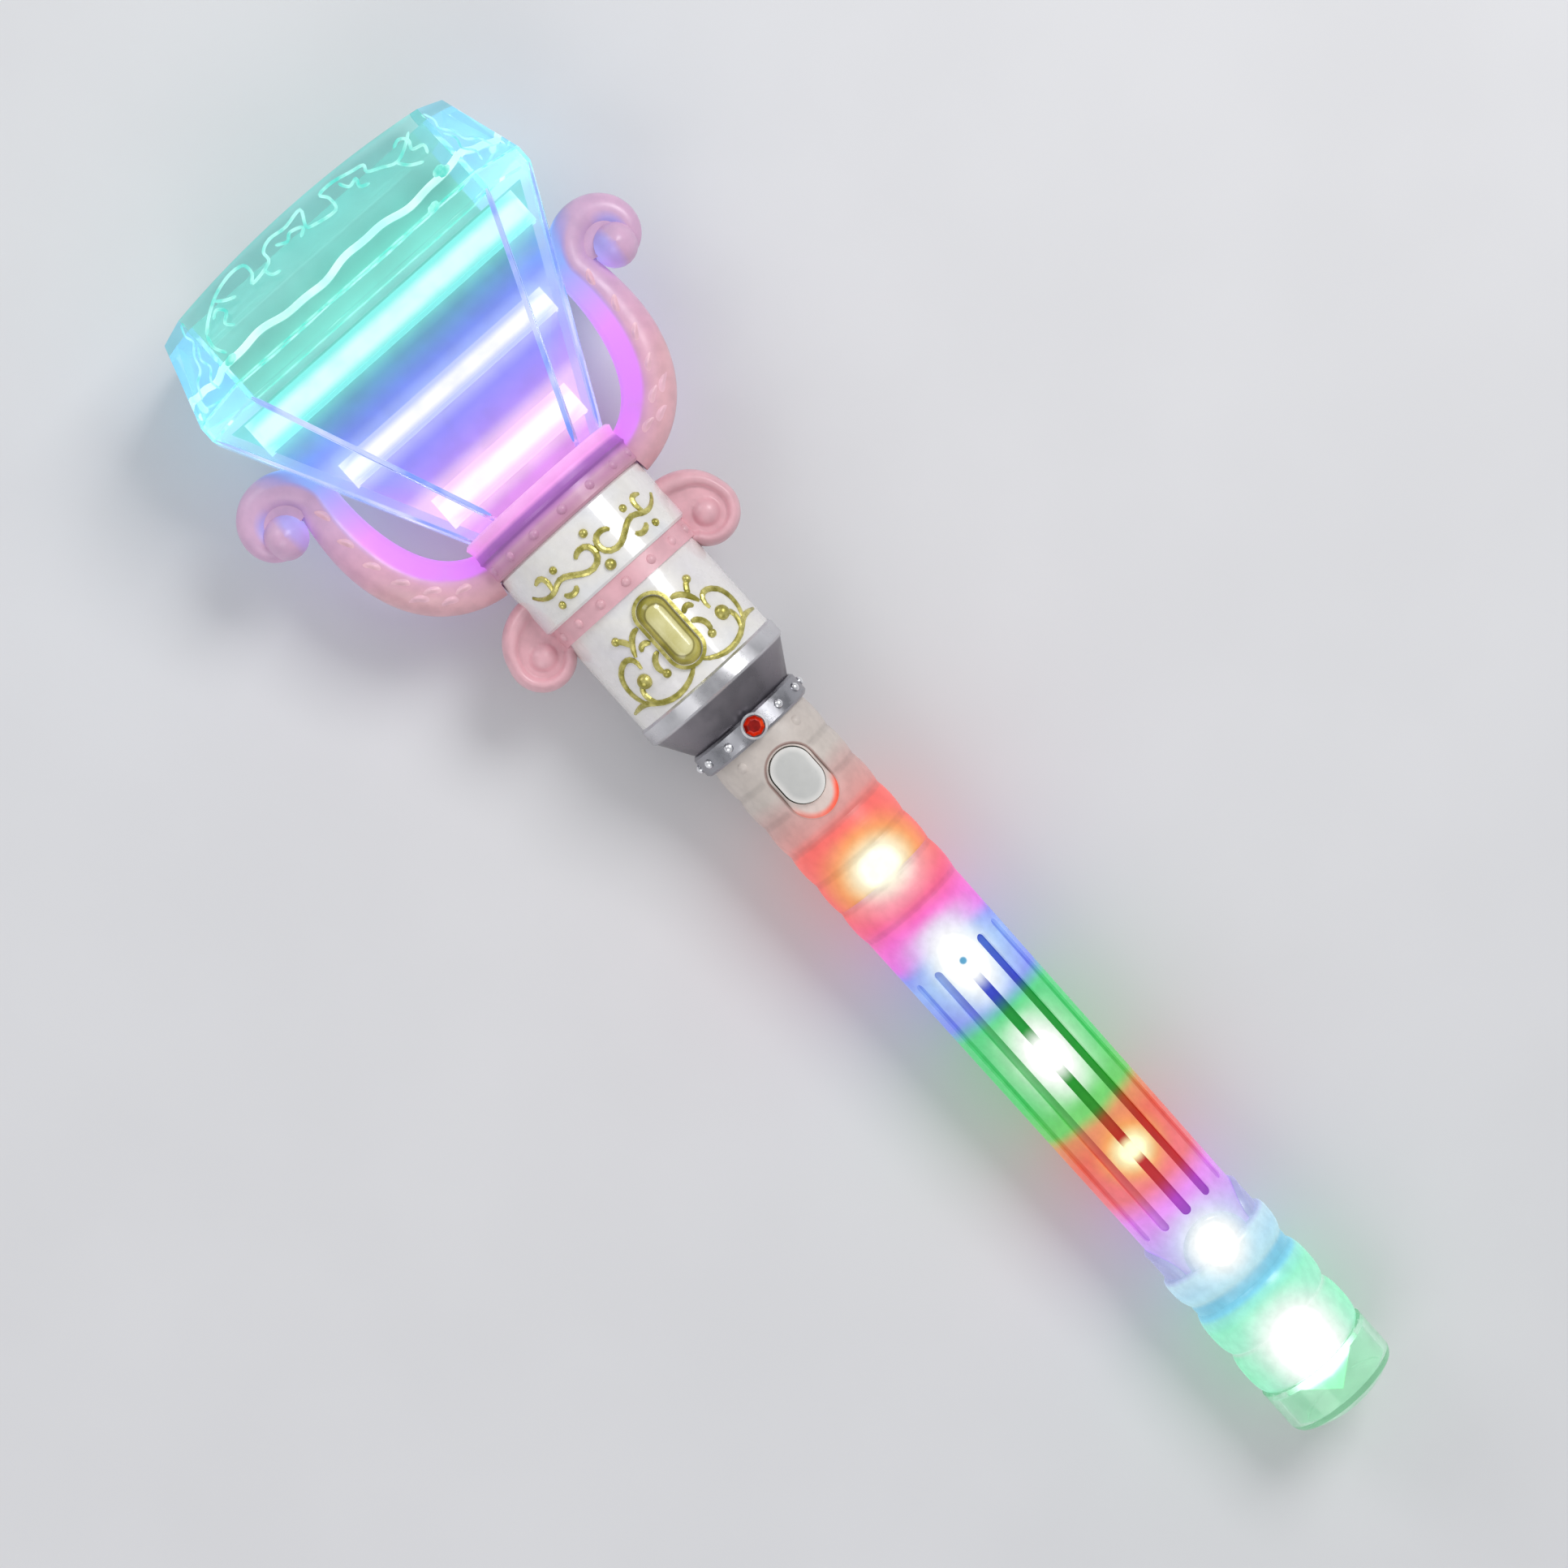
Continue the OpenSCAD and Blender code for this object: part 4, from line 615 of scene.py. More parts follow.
def crystal_look(name, light, clear, pale):
    """Clear shell that carries some of the light in its walls, more in its narrow side facets."""
    look = Look(name, Roughness=0.04, IOR=1.45, Transmission_Weight=clear)
    z = look.reach(ALONG)
    flank = look.smooth(look.math("ABSOLUTE", look.turned(RIGHT)), 0.5, 0.9)
    colour = look.mix(look.product(flank, 0.6), look.ramp(z, CRYSTAL_COLOURS), rgb(112, 172, 246))
    colour = look.speckle(colour, 70, 0.88, 1.1)
    look.give("Base Color", look.mix(pale, colour, WHITE))
    # Painted light along the belt at the girdle
    belt_light = look.smooth(look.off(z, BELT_Z), 6.0, 1.0, 0.0, 0.16)
    wall = look.smooth(flank, 0.0, 1.0, light, light + 0.14)
    look.glow(look.times(colour, look.math("ADD", belt_light, wall)))
    look.skin(90, 2, 0.04, 0.0006)
    return look


def panel_look():
    look = Look("diffuser_panel", Roughness=0.5)
    colour = look.speckle(look.ramp(look.reach(ALONG), CRYSTAL_COLOURS), 120, 0.9, 1.06)
    look.give("Base Color", look.times(colour, 0.25))
    look.glow(colour, 0.8)
    return look


def light_bar(name, node, top, tone, half):
    """Dresses a lit bar: white along its middle and at the ends of its half length, tinted at its edges."""
    look = Look(name, Roughness=0.35)
    low, high = span(node)
    across = look.off(look.reach(ALONG), (low + high) / 2)
    ridge = look.smooth(across, (high - low) * 0.42, (high - low) * 0.12)
    end = look.smooth(look.math("ABSOLUTE", look.reach(RIGHT)), half - 7, half - 1, 0.0, 0.7)
    uneven = look.smooth(look.noise(160), 0.25, 0.6, 0.75, 1.0)
    colour = look.mix(look.product(look.math("MAXIMUM", ridge, end), uneven), tone, top)
    look.give("Base Color", look.times(colour, 0.2))
    look.glow(colour, 1.1)
    dress(look, node)


dress(crystal_look("lit_crystal", 0.03, 0.95, 0.8), "crystal_body")
dress(crystal_look("lit_crown", 0.14, 0.92, 0.38), "crystal_crown")
dress(panel_look(), "diffuser_panel")
light_bar("bar_cyan", "light_bar_1", rgb(228, 255, 252), rgb(124, 232, 226), 44)
light_bar("bar_white", "light_bar_2", rgb(255, 253, 255), rgb(186, 196, 248), 33)
light_bar("bar_pink", "light_bar_3", rgb(255, 252, 255), rgb(246, 200, 250), 22)

# Pieces inside; the cells' jackets change colour at shares of a cell's length
CELLS = ("battery_1", "battery_2", "battery_3")
JACKET = bands(
    (0.0, 46, 52, 60), (0.7, 52, 58, 66), (0.72, 190, 150, 70), (0.96, 200, 160, 80),
    (0.965, 188, 190, 192), (1.0, 196, 198, 200),
)


def lamp_look():
    look = Look("led_dome", Roughness=0.15)
    warmth = look.cloud(900, 2, 0.9, 1.1)
    look.give("Base Color", look.times(rgb(235, 235, 225), warmth))
    look.glow(look.times(rgb(255, 255, 245), warmth), 1.1)
    return look


def cell_look():
    """Dark jacket with a gold band and a steel end on each cell of the row."""
    look = Look("cell_jacket", Roughness=0.28, Metallic=0.3)
    ends = [end for name in CELLS for end in span(name)]
    cell_len = (max(ends) - min(ends)) / len(CELLS)
    place = look.math("DIVIDE", look.math("SUBTRACT", look.reach(ALONG), min(ends)), cell_len)
    jacket = look.ramp(look.math("FRACT", place), JACKET)
    look.give("Base Color", look.speckle(jacket, 300, 0.9, 1.08))
    return look


dress(plastic(Look("board_green"), rgb(38, 92, 62), 0.35, 220, 0.8, 1.15), "led_board", "head_board")
dress(lamp_look(), *[name for name in nodes if "_led_" in name])
dress(cell_look(), *CELLS)
steel = metal(Look("contact_steel"), rgb(186, 188, 190), 0.24, 500, 0.9, 1.05)
dress(steel, "battery_spring", "battery_plate", "door_screw")
dress(plastic(Look("switch_black"), rgb(44, 44, 48), 0.4, 300, 0.85, 1.2), "switch_body")
white = plastic(Look("switch_white"), rgb(224, 222, 214), 0.4)
dress(white, "switch_plunger", "battery_tray", "neck_core")
dress(plastic(Look("wire_red_jacket"), rgb(186, 40, 36), 0.35, 600, 0.85, 1.1), "wire_red")
dress(plastic(Look("wire_black_jacket"), rgb(36, 36, 38), 0.35, 600, 0.8, 1.25), "wire_black")


def add_piece(name, mesh, look, slot, *replaced, sharp=None):
    """Makes a mesh a smooth piece that rides with the wand and may stand for CAD nodes."""
    mesh.polygons.foreach_set("use_smooth", [True] * len(mesh.polygons))
    if sharp:
        mesh.set_sharp_from_angle(angle=math.radians(sharp))
    mesh.materials.append(look.material)
    piece = bpy.data.objects.new(name, mesh)
    scene.collection.objects.link(piece)
    if replaced:
        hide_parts(*replaced)
    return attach(piece, "wand")


def join_rings(faces, start, rings, sides, closed=False):
    """Adds the faces between neighbouring rings of points, and from the last to the first when closed."""
    for i in range(rings if closed else rings - 1):
        a, b = start + i * sides, start + (i + 1) % rings * sides
        for k in range(sides):
            m = (k + 1) % sides
            faces.append((a + k, a + m, b + m, b + k))


def circle(sides):
    """Angles evenly spaced round a circle."""
    return [2 * math.pi * k / sides for k in range(sides)]


TUBE_SIDES, TUBE_TIP = 8, 0.4


def tube(name, lines, radius, look, slot):
    """Round tubes of a radius in millimetres along lists of points, joined as one piece."""
    verts, faces = [], []
    for points in lines:
        closed = (points[0] - points[-1]).length < 1e-9
        points = points[:-1] if closed else points
        last = len(points) - 1
        start = len(verts)
        for i, p in enumerate(points):
            before = points[i - 1] if closed or i else p
            after = points[(i + 1) % len(points)] if closed or i < last else p
            way = (after - before).normalized()
            side = way.cross(FRONT if abs(way.dot(FRONT)) < 0.9 else RIGHT).normalized()
            up = side.cross(way)
            r = radius * MM * (1.0 if closed or 0 < i < last else TUBE_TIP)
            verts.extend(p + (side * math.cos(a) + up * math.sin(a)) * r for a in circle(TUBE_SIDES))
        join_rings(faces, start, len(points), TUBE_SIDES, closed)
        if not closed:
            faces.append(tuple(start + k for k in reversed(range(TUBE_SIDES))))
            faces.append(tuple(start + last * TUBE_SIDES + k for k in range(TUBE_SIDES)))
    mesh = bpy.data.meshes.new(name)
    mesh.from_pydata([tuple(v) for v in verts], [], faces)
    add_piece(name, mesh, look, slot)


def solid(name, verts, faces, look, slot, *replaced, sharp=None):
    """A mesh piece with its faces turned outward, and sharp edges above an angle in degrees."""
    mesh = bpy.data.meshes.new(name)
    mesh.from_pydata([tuple(v) for v in verts], [], faces)
    mesh.update()
    work = bmesh.new()
    work.from_mesh(mesh)
    bmesh.ops.recalc_face_normals(work, faces=work.faces)
    work.to_mesh(mesh)
    work.free()
    add_piece(name, mesh, look, slot, *replaced, sharp=sharp)


BALL_RINGS, BALL_SIDES = 14, 24


def add_ball(verts, faces, centre, across, depth, side):
    """Ball at a place across and along the wand, with its own half depth."""
    start = len(verts)
    for i in range(BALL_RINGS + 1):
        lat = math.pi * i / BALL_RINGS
        out = across * math.sin(lat)
        for a in circle(BALL_SIDES):
            x, z = centre[0] + out * math.cos(a), centre[1] + out * math.sin(a)
            verts.append(spot(side * x, depth * math.cos(lat), z))
    join_rings(faces, start, BALL_RINGS + 1, BALL_SIDES)


# Pommel sleeve: full rings and a lip, with four round petals that lie on the handle
RING_LEN, RINGS, RING_STEPS = 12.6, 2, 20
LIP = [
    (14.2, 41.5), (14.2, 44.0), (14.7, 45.0), (15.2, 46.4), (15.45, 48.0),
    (15.5, 49.6), (15.5, 51.2), (15.3, 52.1), (14.8, 52.55),
]
SLEEVE_SIDES = 96
LIP_TOP, PETALS, PETAL_R, PETAL_T = 52.6, 4, 9.3, 0.95
PETAL_ROWS, PETAL_COLUMNS = 14, 28
BEAD_H, BEAD_AT, BEAD_WIDE = 0.35, 0.86, 0.09


def sleeve_profile():
    """Radius and place along the wand of the sleeve's section, from its bore round the outside."""
    profile = [(BORE_R, SLEEVE_LOW)]
    for ring in range(RINGS):
        for k in range(1 if ring else 0, RING_STEPS + 1):
            u = 2 * k / RING_STEPS - 1
            swell = (1 - abs(u) ** 2.6) ** 0.7
            z = SLEEVE_LOW + RING_LEN * (ring + k / RING_STEPS)
            profile.append((WAIST_R + (SLEEVE_R - WAIST_R) * swell, z))
    return [*profile, *LIP, (BORE_R, LIP_TOP)]


def add_petal(verts, faces, turn):
    """Half disc on the handle with a bead near its edge, at a turn round the wand."""
    start = len(verts)
    for outside in (1, 0):
        for i in range(PETAL_ROWS + 1):
            share = i / PETAL_ROWS
            bead = BEAD_H * math.exp(-(((share - BEAD_AT) / BEAD_WIDE) ** 2))
            height = PETAL_T * math.sqrt(1 - share**6) * 0.75 + bead + 0.05
            r = BORE_R + 0.02 + outside * height
            for k in range(PETAL_COLUMNS + 1):
                a = math.pi * k / PETAL_COLUMNS
                across, rise = PETAL_R * share * math.cos(a), PETAL_R * share * math.sin(a)
                way = turn + math.asin(across / (BORE_R + PETAL_T))
                verts.append(spot(r * math.sin(way), r * math.cos(way), LIP_TOP - 0.2 + rise))
    wide = PETAL_COLUMNS + 1
    back = start + (PETAL_ROWS + 1) * wide
    for i in range(PETAL_ROWS):
        for k in range(PETAL_COLUMNS):
            for base in (start, back):
                a = base + i * wide + k
                faces.append((a, a + 1, a + wide + 1, a + wide))
        for k in (0, PETAL_COLUMNS):
            a, b = start + i * wide + k, back + i * wide + k
            faces.append((a, a + wide, b + wide, b))
    for k in range(PETAL_COLUMNS):
        a, b = start + PETAL_ROWS * wide + k, back + PETAL_ROWS * wide + k
        faces.append((a, a + 1, b + 1, b))


def build_sleeve():
    profile = sleeve_profile()
    verts, faces = [], []
    for r, z in profile:
        verts.extend(spot(r * math.sin(a), r * math.cos(a), z) for a in circle(SLEEVE_SIDES))
    join_rings(faces, 0, len(profile), SLEEVE_SIDES, closed=True)
    for turn in circle(PETALS):
        add_petal(verts, faces, turn)
    solid("ringed_sleeve", verts, faces, ring_look, "mint_pommel", "pommel_sleeve", sharp=50)


build_sleeve()

# Scroll arms: centre line and thicknesses, in millimetres across and along the wand
ARM_ROOT, ARM_EYE, ARM_R = (21.1, 286.2), (51.1, 327.0), 10.4
ARM_PULLS = ((38.94, 289.22), (43.58, 308.23))
ARM_TURN, ARM_END = 230.0, 4.68
ROOT_T, JOIN_T, TIP_T, SWELL_T = 11.8, 10.2, 5.8, 2.4
ARM_DEEP, ARM_STEPS, ARM_SIDES = 0.95, 60, 40
ARM_BALL, ARM_BALL_R, ARM_BALL_DEEP = (51.9, 325.0), 5.5, 8.0
PLATE_DEEP = 2.5
# Flat inner bevel, in shares of the half thickness: where it starts, and its depth there and at the edge
BEVEL_FROM, BEVEL_TOP, BEVEL_EDGE = -0.2, 0.93, 0.37
# Scales: steps of the centre line that carry one and its share of the way out, then its half sizes
SCALES = [*((i, 0.14) for i in (10, 19, 28, 37, 46, 55)), (14, 0.5), (22, 0.5)]
SCALE_LONG, SCALE_WIDE, SCALE_H = 2.4, 1.05, 0.3
SCALE_RINGS, SCALE_SIDES = 7, 14


def arm_line():
    """Points from the collar to the end of the scroll, each with a half thickness and a bevel share."""
    places = (ARM_ROOT, *ARM_PULLS, (ARM_EYE[0] - ARM_R, ARM_EYE[1]))
    points = []
    for i in range(ARM_STEPS):
        t = i / ARM_STEPS
        weights = ((1 - t) ** 3, 3 * t * (1 - t) ** 2, 3 * t * t * (1 - t), t**3)
        x, z = (sum(w * place[n] for w, place in zip(weights, places)) for n in (0, 1))
        thick = ROOT_T + (JOIN_T - ROOT_T) * t + SWELL_T * math.sin(math.pi * t)
        points.append((x, z, thick / 2, min(1.0, 0.45 + 3 * t)))
    for i in range(ARM_STEPS + 1):
        t = i / ARM_STEPS
        a, r = math.radians(180 - ARM_TURN * t), ARM_END + (ARM_R - ARM_END) * (1 - t)
        x, z = ARM_EYE[0] + r * math.cos(a), ARM_EYE[1] + r * math.sin(a)
        points.append((x, z, (JOIN_T + (TIP_T - JOIN_T) * t) / 2, max(0.0, 1 - 2.2 * t)))
    return points


def heading(line, i):
    """Unit step of the centre line at a point."""
    ahead, behind = line[min(i + 1, len(line) - 1)], line[max(i - 1, 0)]
    dx, dz = ahead[0] - behind[0], ahead[1] - behind[1]
    n = math.hypot(dx, dz)
    return dx / n, dz / n


def arm_section(bevel):
    """Section as shares out and forward, with a flat bevel on the side that faces the crystal."""
    ring = []
    for a in circle(ARM_SIDES):
        out, deep = math.cos(a), ARM_DEEP * math.sin(a)
        t = (BEVEL_FROM - out) / (1 + BEVEL_FROM)
        if 0 < t < 0.98:
            flat = min(abs(deep), BEVEL_TOP + (BEVEL_EDGE - BEVEL_TOP) * t)
            deep = math.copysign(abs(deep) + (flat - abs(deep)) * bevel, deep)
        ring.append((out, deep))
    return ring


def build_arm(name, side, node, look):
    line = arm_line()
    verts, faces = [], []
    for i, (x, z, half, bevel) in enumerate(line):
        dx, dz = heading(line, i)
        for out, deep in arm_section(bevel):
            verts.append(spot(side * (x + dz * out * half), deep * half, z - dx * out * half))
    join_rings(faces, 0, len(line), ARM_SIDES)
    for end in (0, len(line) - 1):
        faces.append(tuple(end * ARM_SIDES + k for k in range(ARM_SIDES)))
    # Plate inside the scroll, and its ball
    rim = [(x, z) for x, z, _, _ in line[ARM_STEPS:]]
    for f in (-PLATE_DEEP, PLATE_DEEP):
        start = len(verts)
        verts.extend(spot(side * x, f, z) for x, z in rim)
        faces.append(tuple(range(start, start + len(rim))))
    add_ball(verts, faces, ARM_BALL, ARM_BALL_R, ARM_BALL_DEEP, side)
    solid(name, verts, faces, look, "pink", node, sharp=38)
    build_scales(name + "_scales", side, line)


def build_scales(name, side, line):
    """Raised scales along the front and back of an arm, beside its ridge."""
    verts, faces = [], []
    for i, place in SCALES:
        x, z, half, _ = line[i]
        dx, dz = heading(line, i)
        for face in (1, -1):
            start = len(verts)
            for j in range(SCALE_RINGS):
                share = math.cos(math.pi / 2 * j / (SCALE_RINGS - 1))
                rise = SCALE_H * (1 + math.cos(math.pi * share)) - 0.06
                for a in circle(SCALE_SIDES):
                    u, v = SCALE_LONG * share * math.cos(a), SCALE_WIDE * share * math.sin(a)
                    out = place * half + v + 0.1 * u * u + 0.3 * u - 0.3
                    deep = ARM_DEEP * math.sqrt(max(0.0, half * half - out * out)) + rise
                    across, along = x + dz * out + dx * u, z - dx * out + dz * u
                    verts.append(spot(side * across, face * deep, along))
            join_rings(faces, start, SCALE_RINGS, SCALE_SIDES)
    solid(name, verts, faces, scale_look, "pink")


# Scales painted a paler pink, as a painted highlight on the raised marks
scale_look = satin_pink("satin_pink_scales", SCALE_HIGHLIGHT_PINK)
build_arm("scrolled_arm_right", 1, "scroll_arm_right", arm_look("satin_pink_right", -1))
build_arm("scrolled_arm_left", -1, "scroll_arm_left", arm_look("satin_pink_left", 1))

# Lower volutes: a raised rim round a hollow, with a ball in it. Angles are in degrees from the wand's right
VOLUTE = (25.8, 263.8)
VOLUTE_START, VOLUTE_SWELL, VOLUTE_PEAK = -150, 20, 118
VOLUTE_R, VOLUTE_FALL = 15.0, 6.8
CURL_R, CURL_SWELL, CURL_T, CURL_THIN = 4.85, 6.0, 9.2, 3.0
RIM_H, FLOOR_H, NECK_SIDE = 4.7, 2.9, 6.6
RIM_THIN, RIM_THICK, RIM_SHARE = 3.6, 6.0, 0.46
VOLUTE_BALL_R, VOLUTE_BALL_UP = 3.75, 1.3
VOLUTE_RINGS, VOLUTE_SIDES = 30, 96


def volute_edge(a):
    """Distance of the rim's outer edge from the ball's centre at an angle."""
    if a > VOLUTE_PEAK:
        return VOLUTE_R - VOLUTE_FALL * (a - VOLUTE_PEAK) / (VOLUTE_START + 360 - VOLUTE_PEAK)
    swell = max(0.0, a - VOLUTE_SWELL) / (VOLUTE_PEAK - VOLUTE_SWELL)
    share = math.sqrt((VOLUTE_PEAK - a) / (VOLUTE_PEAK - VOLUTE_START))
    return CURL_R + CURL_SWELL * swell**1.5 + (CURL_T - CURL_THIN * share) / 2


def volute_height(t, edge):
    """Height of the volute's face at a distance from the ball's centre."""
    half = min(RIM_THICK, max(RIM_THIN, edge * RIM_SHARE)) / 2
    inner = t - (edge - half)
    rim = RIM_H * math.sqrt(max(0.0, 1 - (inner / half) ** 2))
    ball = VOLUTE_BALL_UP + math.sqrt(VOLUTE_BALL_R**2 - t * t) if t < VOLUTE_BALL_R else 0
    return max(rim, ball, FLOOR_H if inner < 0 else 0)


def build_volute(name, side, node, look):
    verts, faces = [], []
    starts = []
    for face in (1, -1):
        starts.append(len(verts))
        for i in range(VOLUTE_RINGS + 1):
            for k in range(VOLUTE_SIDES):
                a = VOLUTE_START + 360 * k / VOLUTE_SIDES
                edge = volute_edge(a)
                c, s = math.cos(math.radians(a)), math.sin(math.radians(a))
                end = min(edge, NECK_SIDE / -c if c < -0.05 else edge)
                t = end * math.sin(math.pi / 2 * i / VOLUTE_RINGS)
                place = (side * (VOLUTE[0] + t * c), face * volute_height(t, edge), VOLUTE[1] + t * s)
                verts.append(spot(*place))
        join_rings(faces, starts[-1], VOLUTE_RINGS + 1, VOLUTE_SIDES)
    a, b = (start + VOLUTE_RINGS * VOLUTE_SIDES for start in starts)
    for k in range(VOLUTE_SIDES):
        m = (k + 1) % VOLUTE_SIDES
        faces.append((a + k, a + m, b + m, b + k))
    solid(name, verts, faces, look, "pink", node)


build_volute("curled_volute_right", 1, "volute_right", satin_pink("satin_pink_curl_right"))
build_volute("curled_volute_left", -1, "volute_left", satin_pink("satin_pink_curl_left"))

# Crystal: half width, half width of the front face and half depth at its base, girdle and table
BASE, GIRDLE, TABLE = (20.9, 13.4, 15.5), (49.5, 36.4, 27.0), (41.6, 36.5, 21.5)
BASE_Z, BELT_LOW, GIRDLE_Z, TABLE_Z = 296.5, 352.2, 356.2, 379.1
CHAMFER, WALL_INSET = 1.44, 0.9


def facet_corners(low, high, share, inset):
    """Front and side corner of the outline part of the way between two sizes, drawn in from the skin."""
    w, fw, d = (a + (b - a) * share for a, b in zip(low, high))
    side = d - (w - fw) * CHAMFER
    return (fw - inset * 0.52, d - inset), (w - inset, side - inset * 0.25)


def crown_corners(z, inset):
    """Front and side corner of the crown's outline at a height."""
    return facet_corners(GIRDLE, TABLE, (z - GIRDLE_Z) / (TABLE_Z - GIRDLE_Z), inset)


def crown_ring(z, inset):
    """All eight corners of the crown's outline at a height, from the right end of its front edge."""
    (fw, d), (w, side) = crown_corners(z, inset)
    return [(fw, d), (w, side), (w, -side), (fw, -d), (-fw, -d), (-w, -side), (-w, side), (-fw, d)]


def crown_point(share, z, inset):
    """Point on the crown at a share of the way round."""
    ring, flat = crown_ring(z, inset), crown_ring(GIRDLE_Z, 0)
    lengths = [math.dist(flat[i], flat[(i + 1) % 8]) for i in range(8)]
    run = share % 1.0 * sum(lengths)
    for i, length in enumerate(lengths):
        if run <= length:
            place = Vector(ring[i]).lerp(Vector(ring[(i + 1) % 8]), run / length)
            return spot(*place, z)
        run -= length
    return spot(*ring[0], z)


def glint_look(name, dim, bright, scale):
    """Light caught in a seam, brighter in places."""
    look = Look(name, Roughness=0.2)
    colour = look.mix(look.smooth(look.noise(scale), 0.3, 0.65), dim, bright)
    look.give("Base Color", look.times(colour, 0.2))
    look.glow(colour, 1.0)
    return look


glint = glint_look("seam_glint", rgb(66, 214, 200), rgb(196, 250, 242), 240)
white_glint = glint_look("glue_glint", rgb(205, 252, 248), rgb(252, 255, 255), 120)
edge_glint = glint_look("edge_glint", rgb(96, 140, 240), rgb(206, 214, 255), 70)

# Wavy glue seam round the crown's front and sides, a fine one at its back, and its girdle line: painted
# glints
STEPS = 280
SEAM_Z, SEAM_INSET, BACK_FROM, BACK_TO = 361.3, 2.6, 0.145, 0.585


def seam(low, high, swing):
    """Points of the seam between two shares of the way round, with a share of its full wave."""
    line = []
    for i in range(STEPS + 1):
        s = low + (high - low) * i / STEPS
        wave = 0.7 * math.sin(2 * math.pi * 8 * s + 0.8) + 0.25 * math.sin(2 * math.pi * 21 * s)
        line.append(crown_point(s, SEAM_Z + wave * swing, SEAM_INSET))
    return line


tube("crown_glue_seam_glint", [seam(BACK_TO, BACK_FROM + 1, 1.0)], 0.9, white_glint, "light")
tube("crown_back_seam_glint", [seam(BACK_FROM, BACK_TO, 0.15)], 0.3, glint, "light")
girdle = [crown_point(i / STEPS, GIRDLE_Z + 0.3, WALL_INSET) for i in range(STEPS)]
tube("girdle_glint_line", [[*girdle, girdle[0]]], 0.24, glint, "light")

# Edges of the crystal's long facets, lit from below through its wall
EDGE_STEPS, EDGE_INSET = 24, 1.05


def wall_edge(corner, side, back):
    """Points inside the wall on a long edge: the front face's own, or the side face's."""
    line = []
    for i in range(EDGE_STEPS + 1):
        share = i / EDGE_STEPS
        x, f = facet_corners(BASE, GIRDLE, share, EDGE_INSET)[corner]
        line.append(spot(side * x, back * f, BASE_Z + (BELT_LOW - BASE_Z) * share))
    return line


edges = [wall_edge(corner, side, back) for corner in (0, 1) for side in (1, -1) for back in (1, -1)]
tube("crystal_edge_light", edges, 0.55, edge_glint, "light")

# Crazed lines as painted glints: places across and along the front facet, or shares across a corner facet
MEANDER = [
    (-34, 367.9), (-31, 370.6), (-26.5, 373.4), (-21.3, 374.9), (-17.2, 374.5), (-16.8, 371.7),
    (-18.3, 369.8), (-12.3, 371), (-11.6, 373.7), (-8.6, 375), (-4.1, 374.6), (1.1, 375.4),
    (-0.4, 371.7), (1.1, 370.6), (7.1, 369.8), (7.8, 372.9), (6.7, 375), (10.8, 375.2),
    (15.3, 374.2), (18.7, 373.4), (18.3, 371.7), (21.3, 370.2), (24.6, 368.7), (28, 369.8), (31.5, 372.2),
]
BRANCHES = [
    [(-8.6, 373), (-6, 371.8), (-4.1, 373), (-1.1, 371.9), (-3, 370.4)],
    [(-27.5, 372.6), (-25.2, 371), (-23, 370.2)],
    [(24.6, 368.7), (26.5, 366.2), (29.5, 364.6)],
    [(-34, 367.9), (-34.6, 364.6), (-33.2, 361.8)],
    [(26.4, 371.6), (28.6, 372.4), (30.2, 370.8), (29.4, 368.6), (32, 367.6), (31.4, 365.4)],
    [(-30.4, 369.6), (-28.4, 370.8), (-27, 369), (-29, 367.2), (-27.6, 365.4)],
    [(11.6, 374), (13, 371.8), (15.4, 372.2), (14.8, 370.2), (17, 369.2)],
    [(-14.4, 370.6), (-13.6, 368.4), (-11.4, 367.8)],
]
CORNERS = [
    [(0.06, 375.4), (0.2, 373), (0.12, 370.6), (0.34, 368.4), (0.42, 365.2), (0.66, 363.6), (0.74, 360.4)],
    [(0.1, 369), (0.26, 366.6), (0.18, 363.8), (0.36, 361.6), (0.3, 358.8)],
]
CRAZE_LIFT, CORNER_DROP = 1.6, 0.7
# Sparks of painted glint in the crown's front wall
SPARKS = [(30.5, 362.4), (31.5, 361.4), (-33.6, 361.6), (24, 356.8)]
SPARK_STEPS, SPARK_SLOPE, SPARK_INSET = (-1.6, -0.8, 0, 0.8, 1.6), 0.25, 1.5
CURVE_STEPS = 4


def flowing(points):
    """The points with a smooth curve through them."""
    out = []
    last = len(points) - 1
    for i in range(last):
        near = [points[min(max(i + d, 0), last)] for d in (-1, 0, 1, 2)]
        for k in range(CURVE_STEPS):
            t = k / CURVE_STEPS
            weights = (
                (2 * t * t - t - t**3) / 2,
                (2 - 5 * t * t + 3 * t**3) / 2,
                (t + 4 * t * t - 3 * t**3) / 2,
                (t**3 - t * t) / 2,
            )
            out.append(tuple(sum(w * p[n] for w, p in zip(weights, near)) for n in (0, 1)))
    return [*out, points[-1]]


def on_front(x, z, inset):
    """Point in the wall of the crown's front facet."""
    return spot(x, crown_corners(z, inset)[0][1], z)


def on_corner(share, z, side):
    """Point in the wall of a corner facet, a share of the way from its front edge to its side edge."""
    front, flank = (Vector(corner) for corner in crown_corners(z, WALL_INSET))
    x, f = front.lerp(flank, share)
    return spot(side * x, f, z)


crazing = []
for run in [MEANDER, *BRANCHES]:
    crazing.append([on_front(x, z + CRAZE_LIFT, WALL_INSET) for x, z in flowing(run)])
for side, drop in ((1, CORNER_DROP), (-1, 0)):
    for run in CORNERS:
        crazing.append([on_corner(share, z - drop, side) for share, z in flowing(run)])
tube("crown_crazing_glint", crazing, 0.4, glint, "light")
sparks = [[on_front(x + dx, z + dx * SPARK_SLOPE, SPARK_INSET) for dx in SPARK_STEPS] for x, z in SPARKS]
tube("crown_sparks", sparks, 0.95, glint, "light")

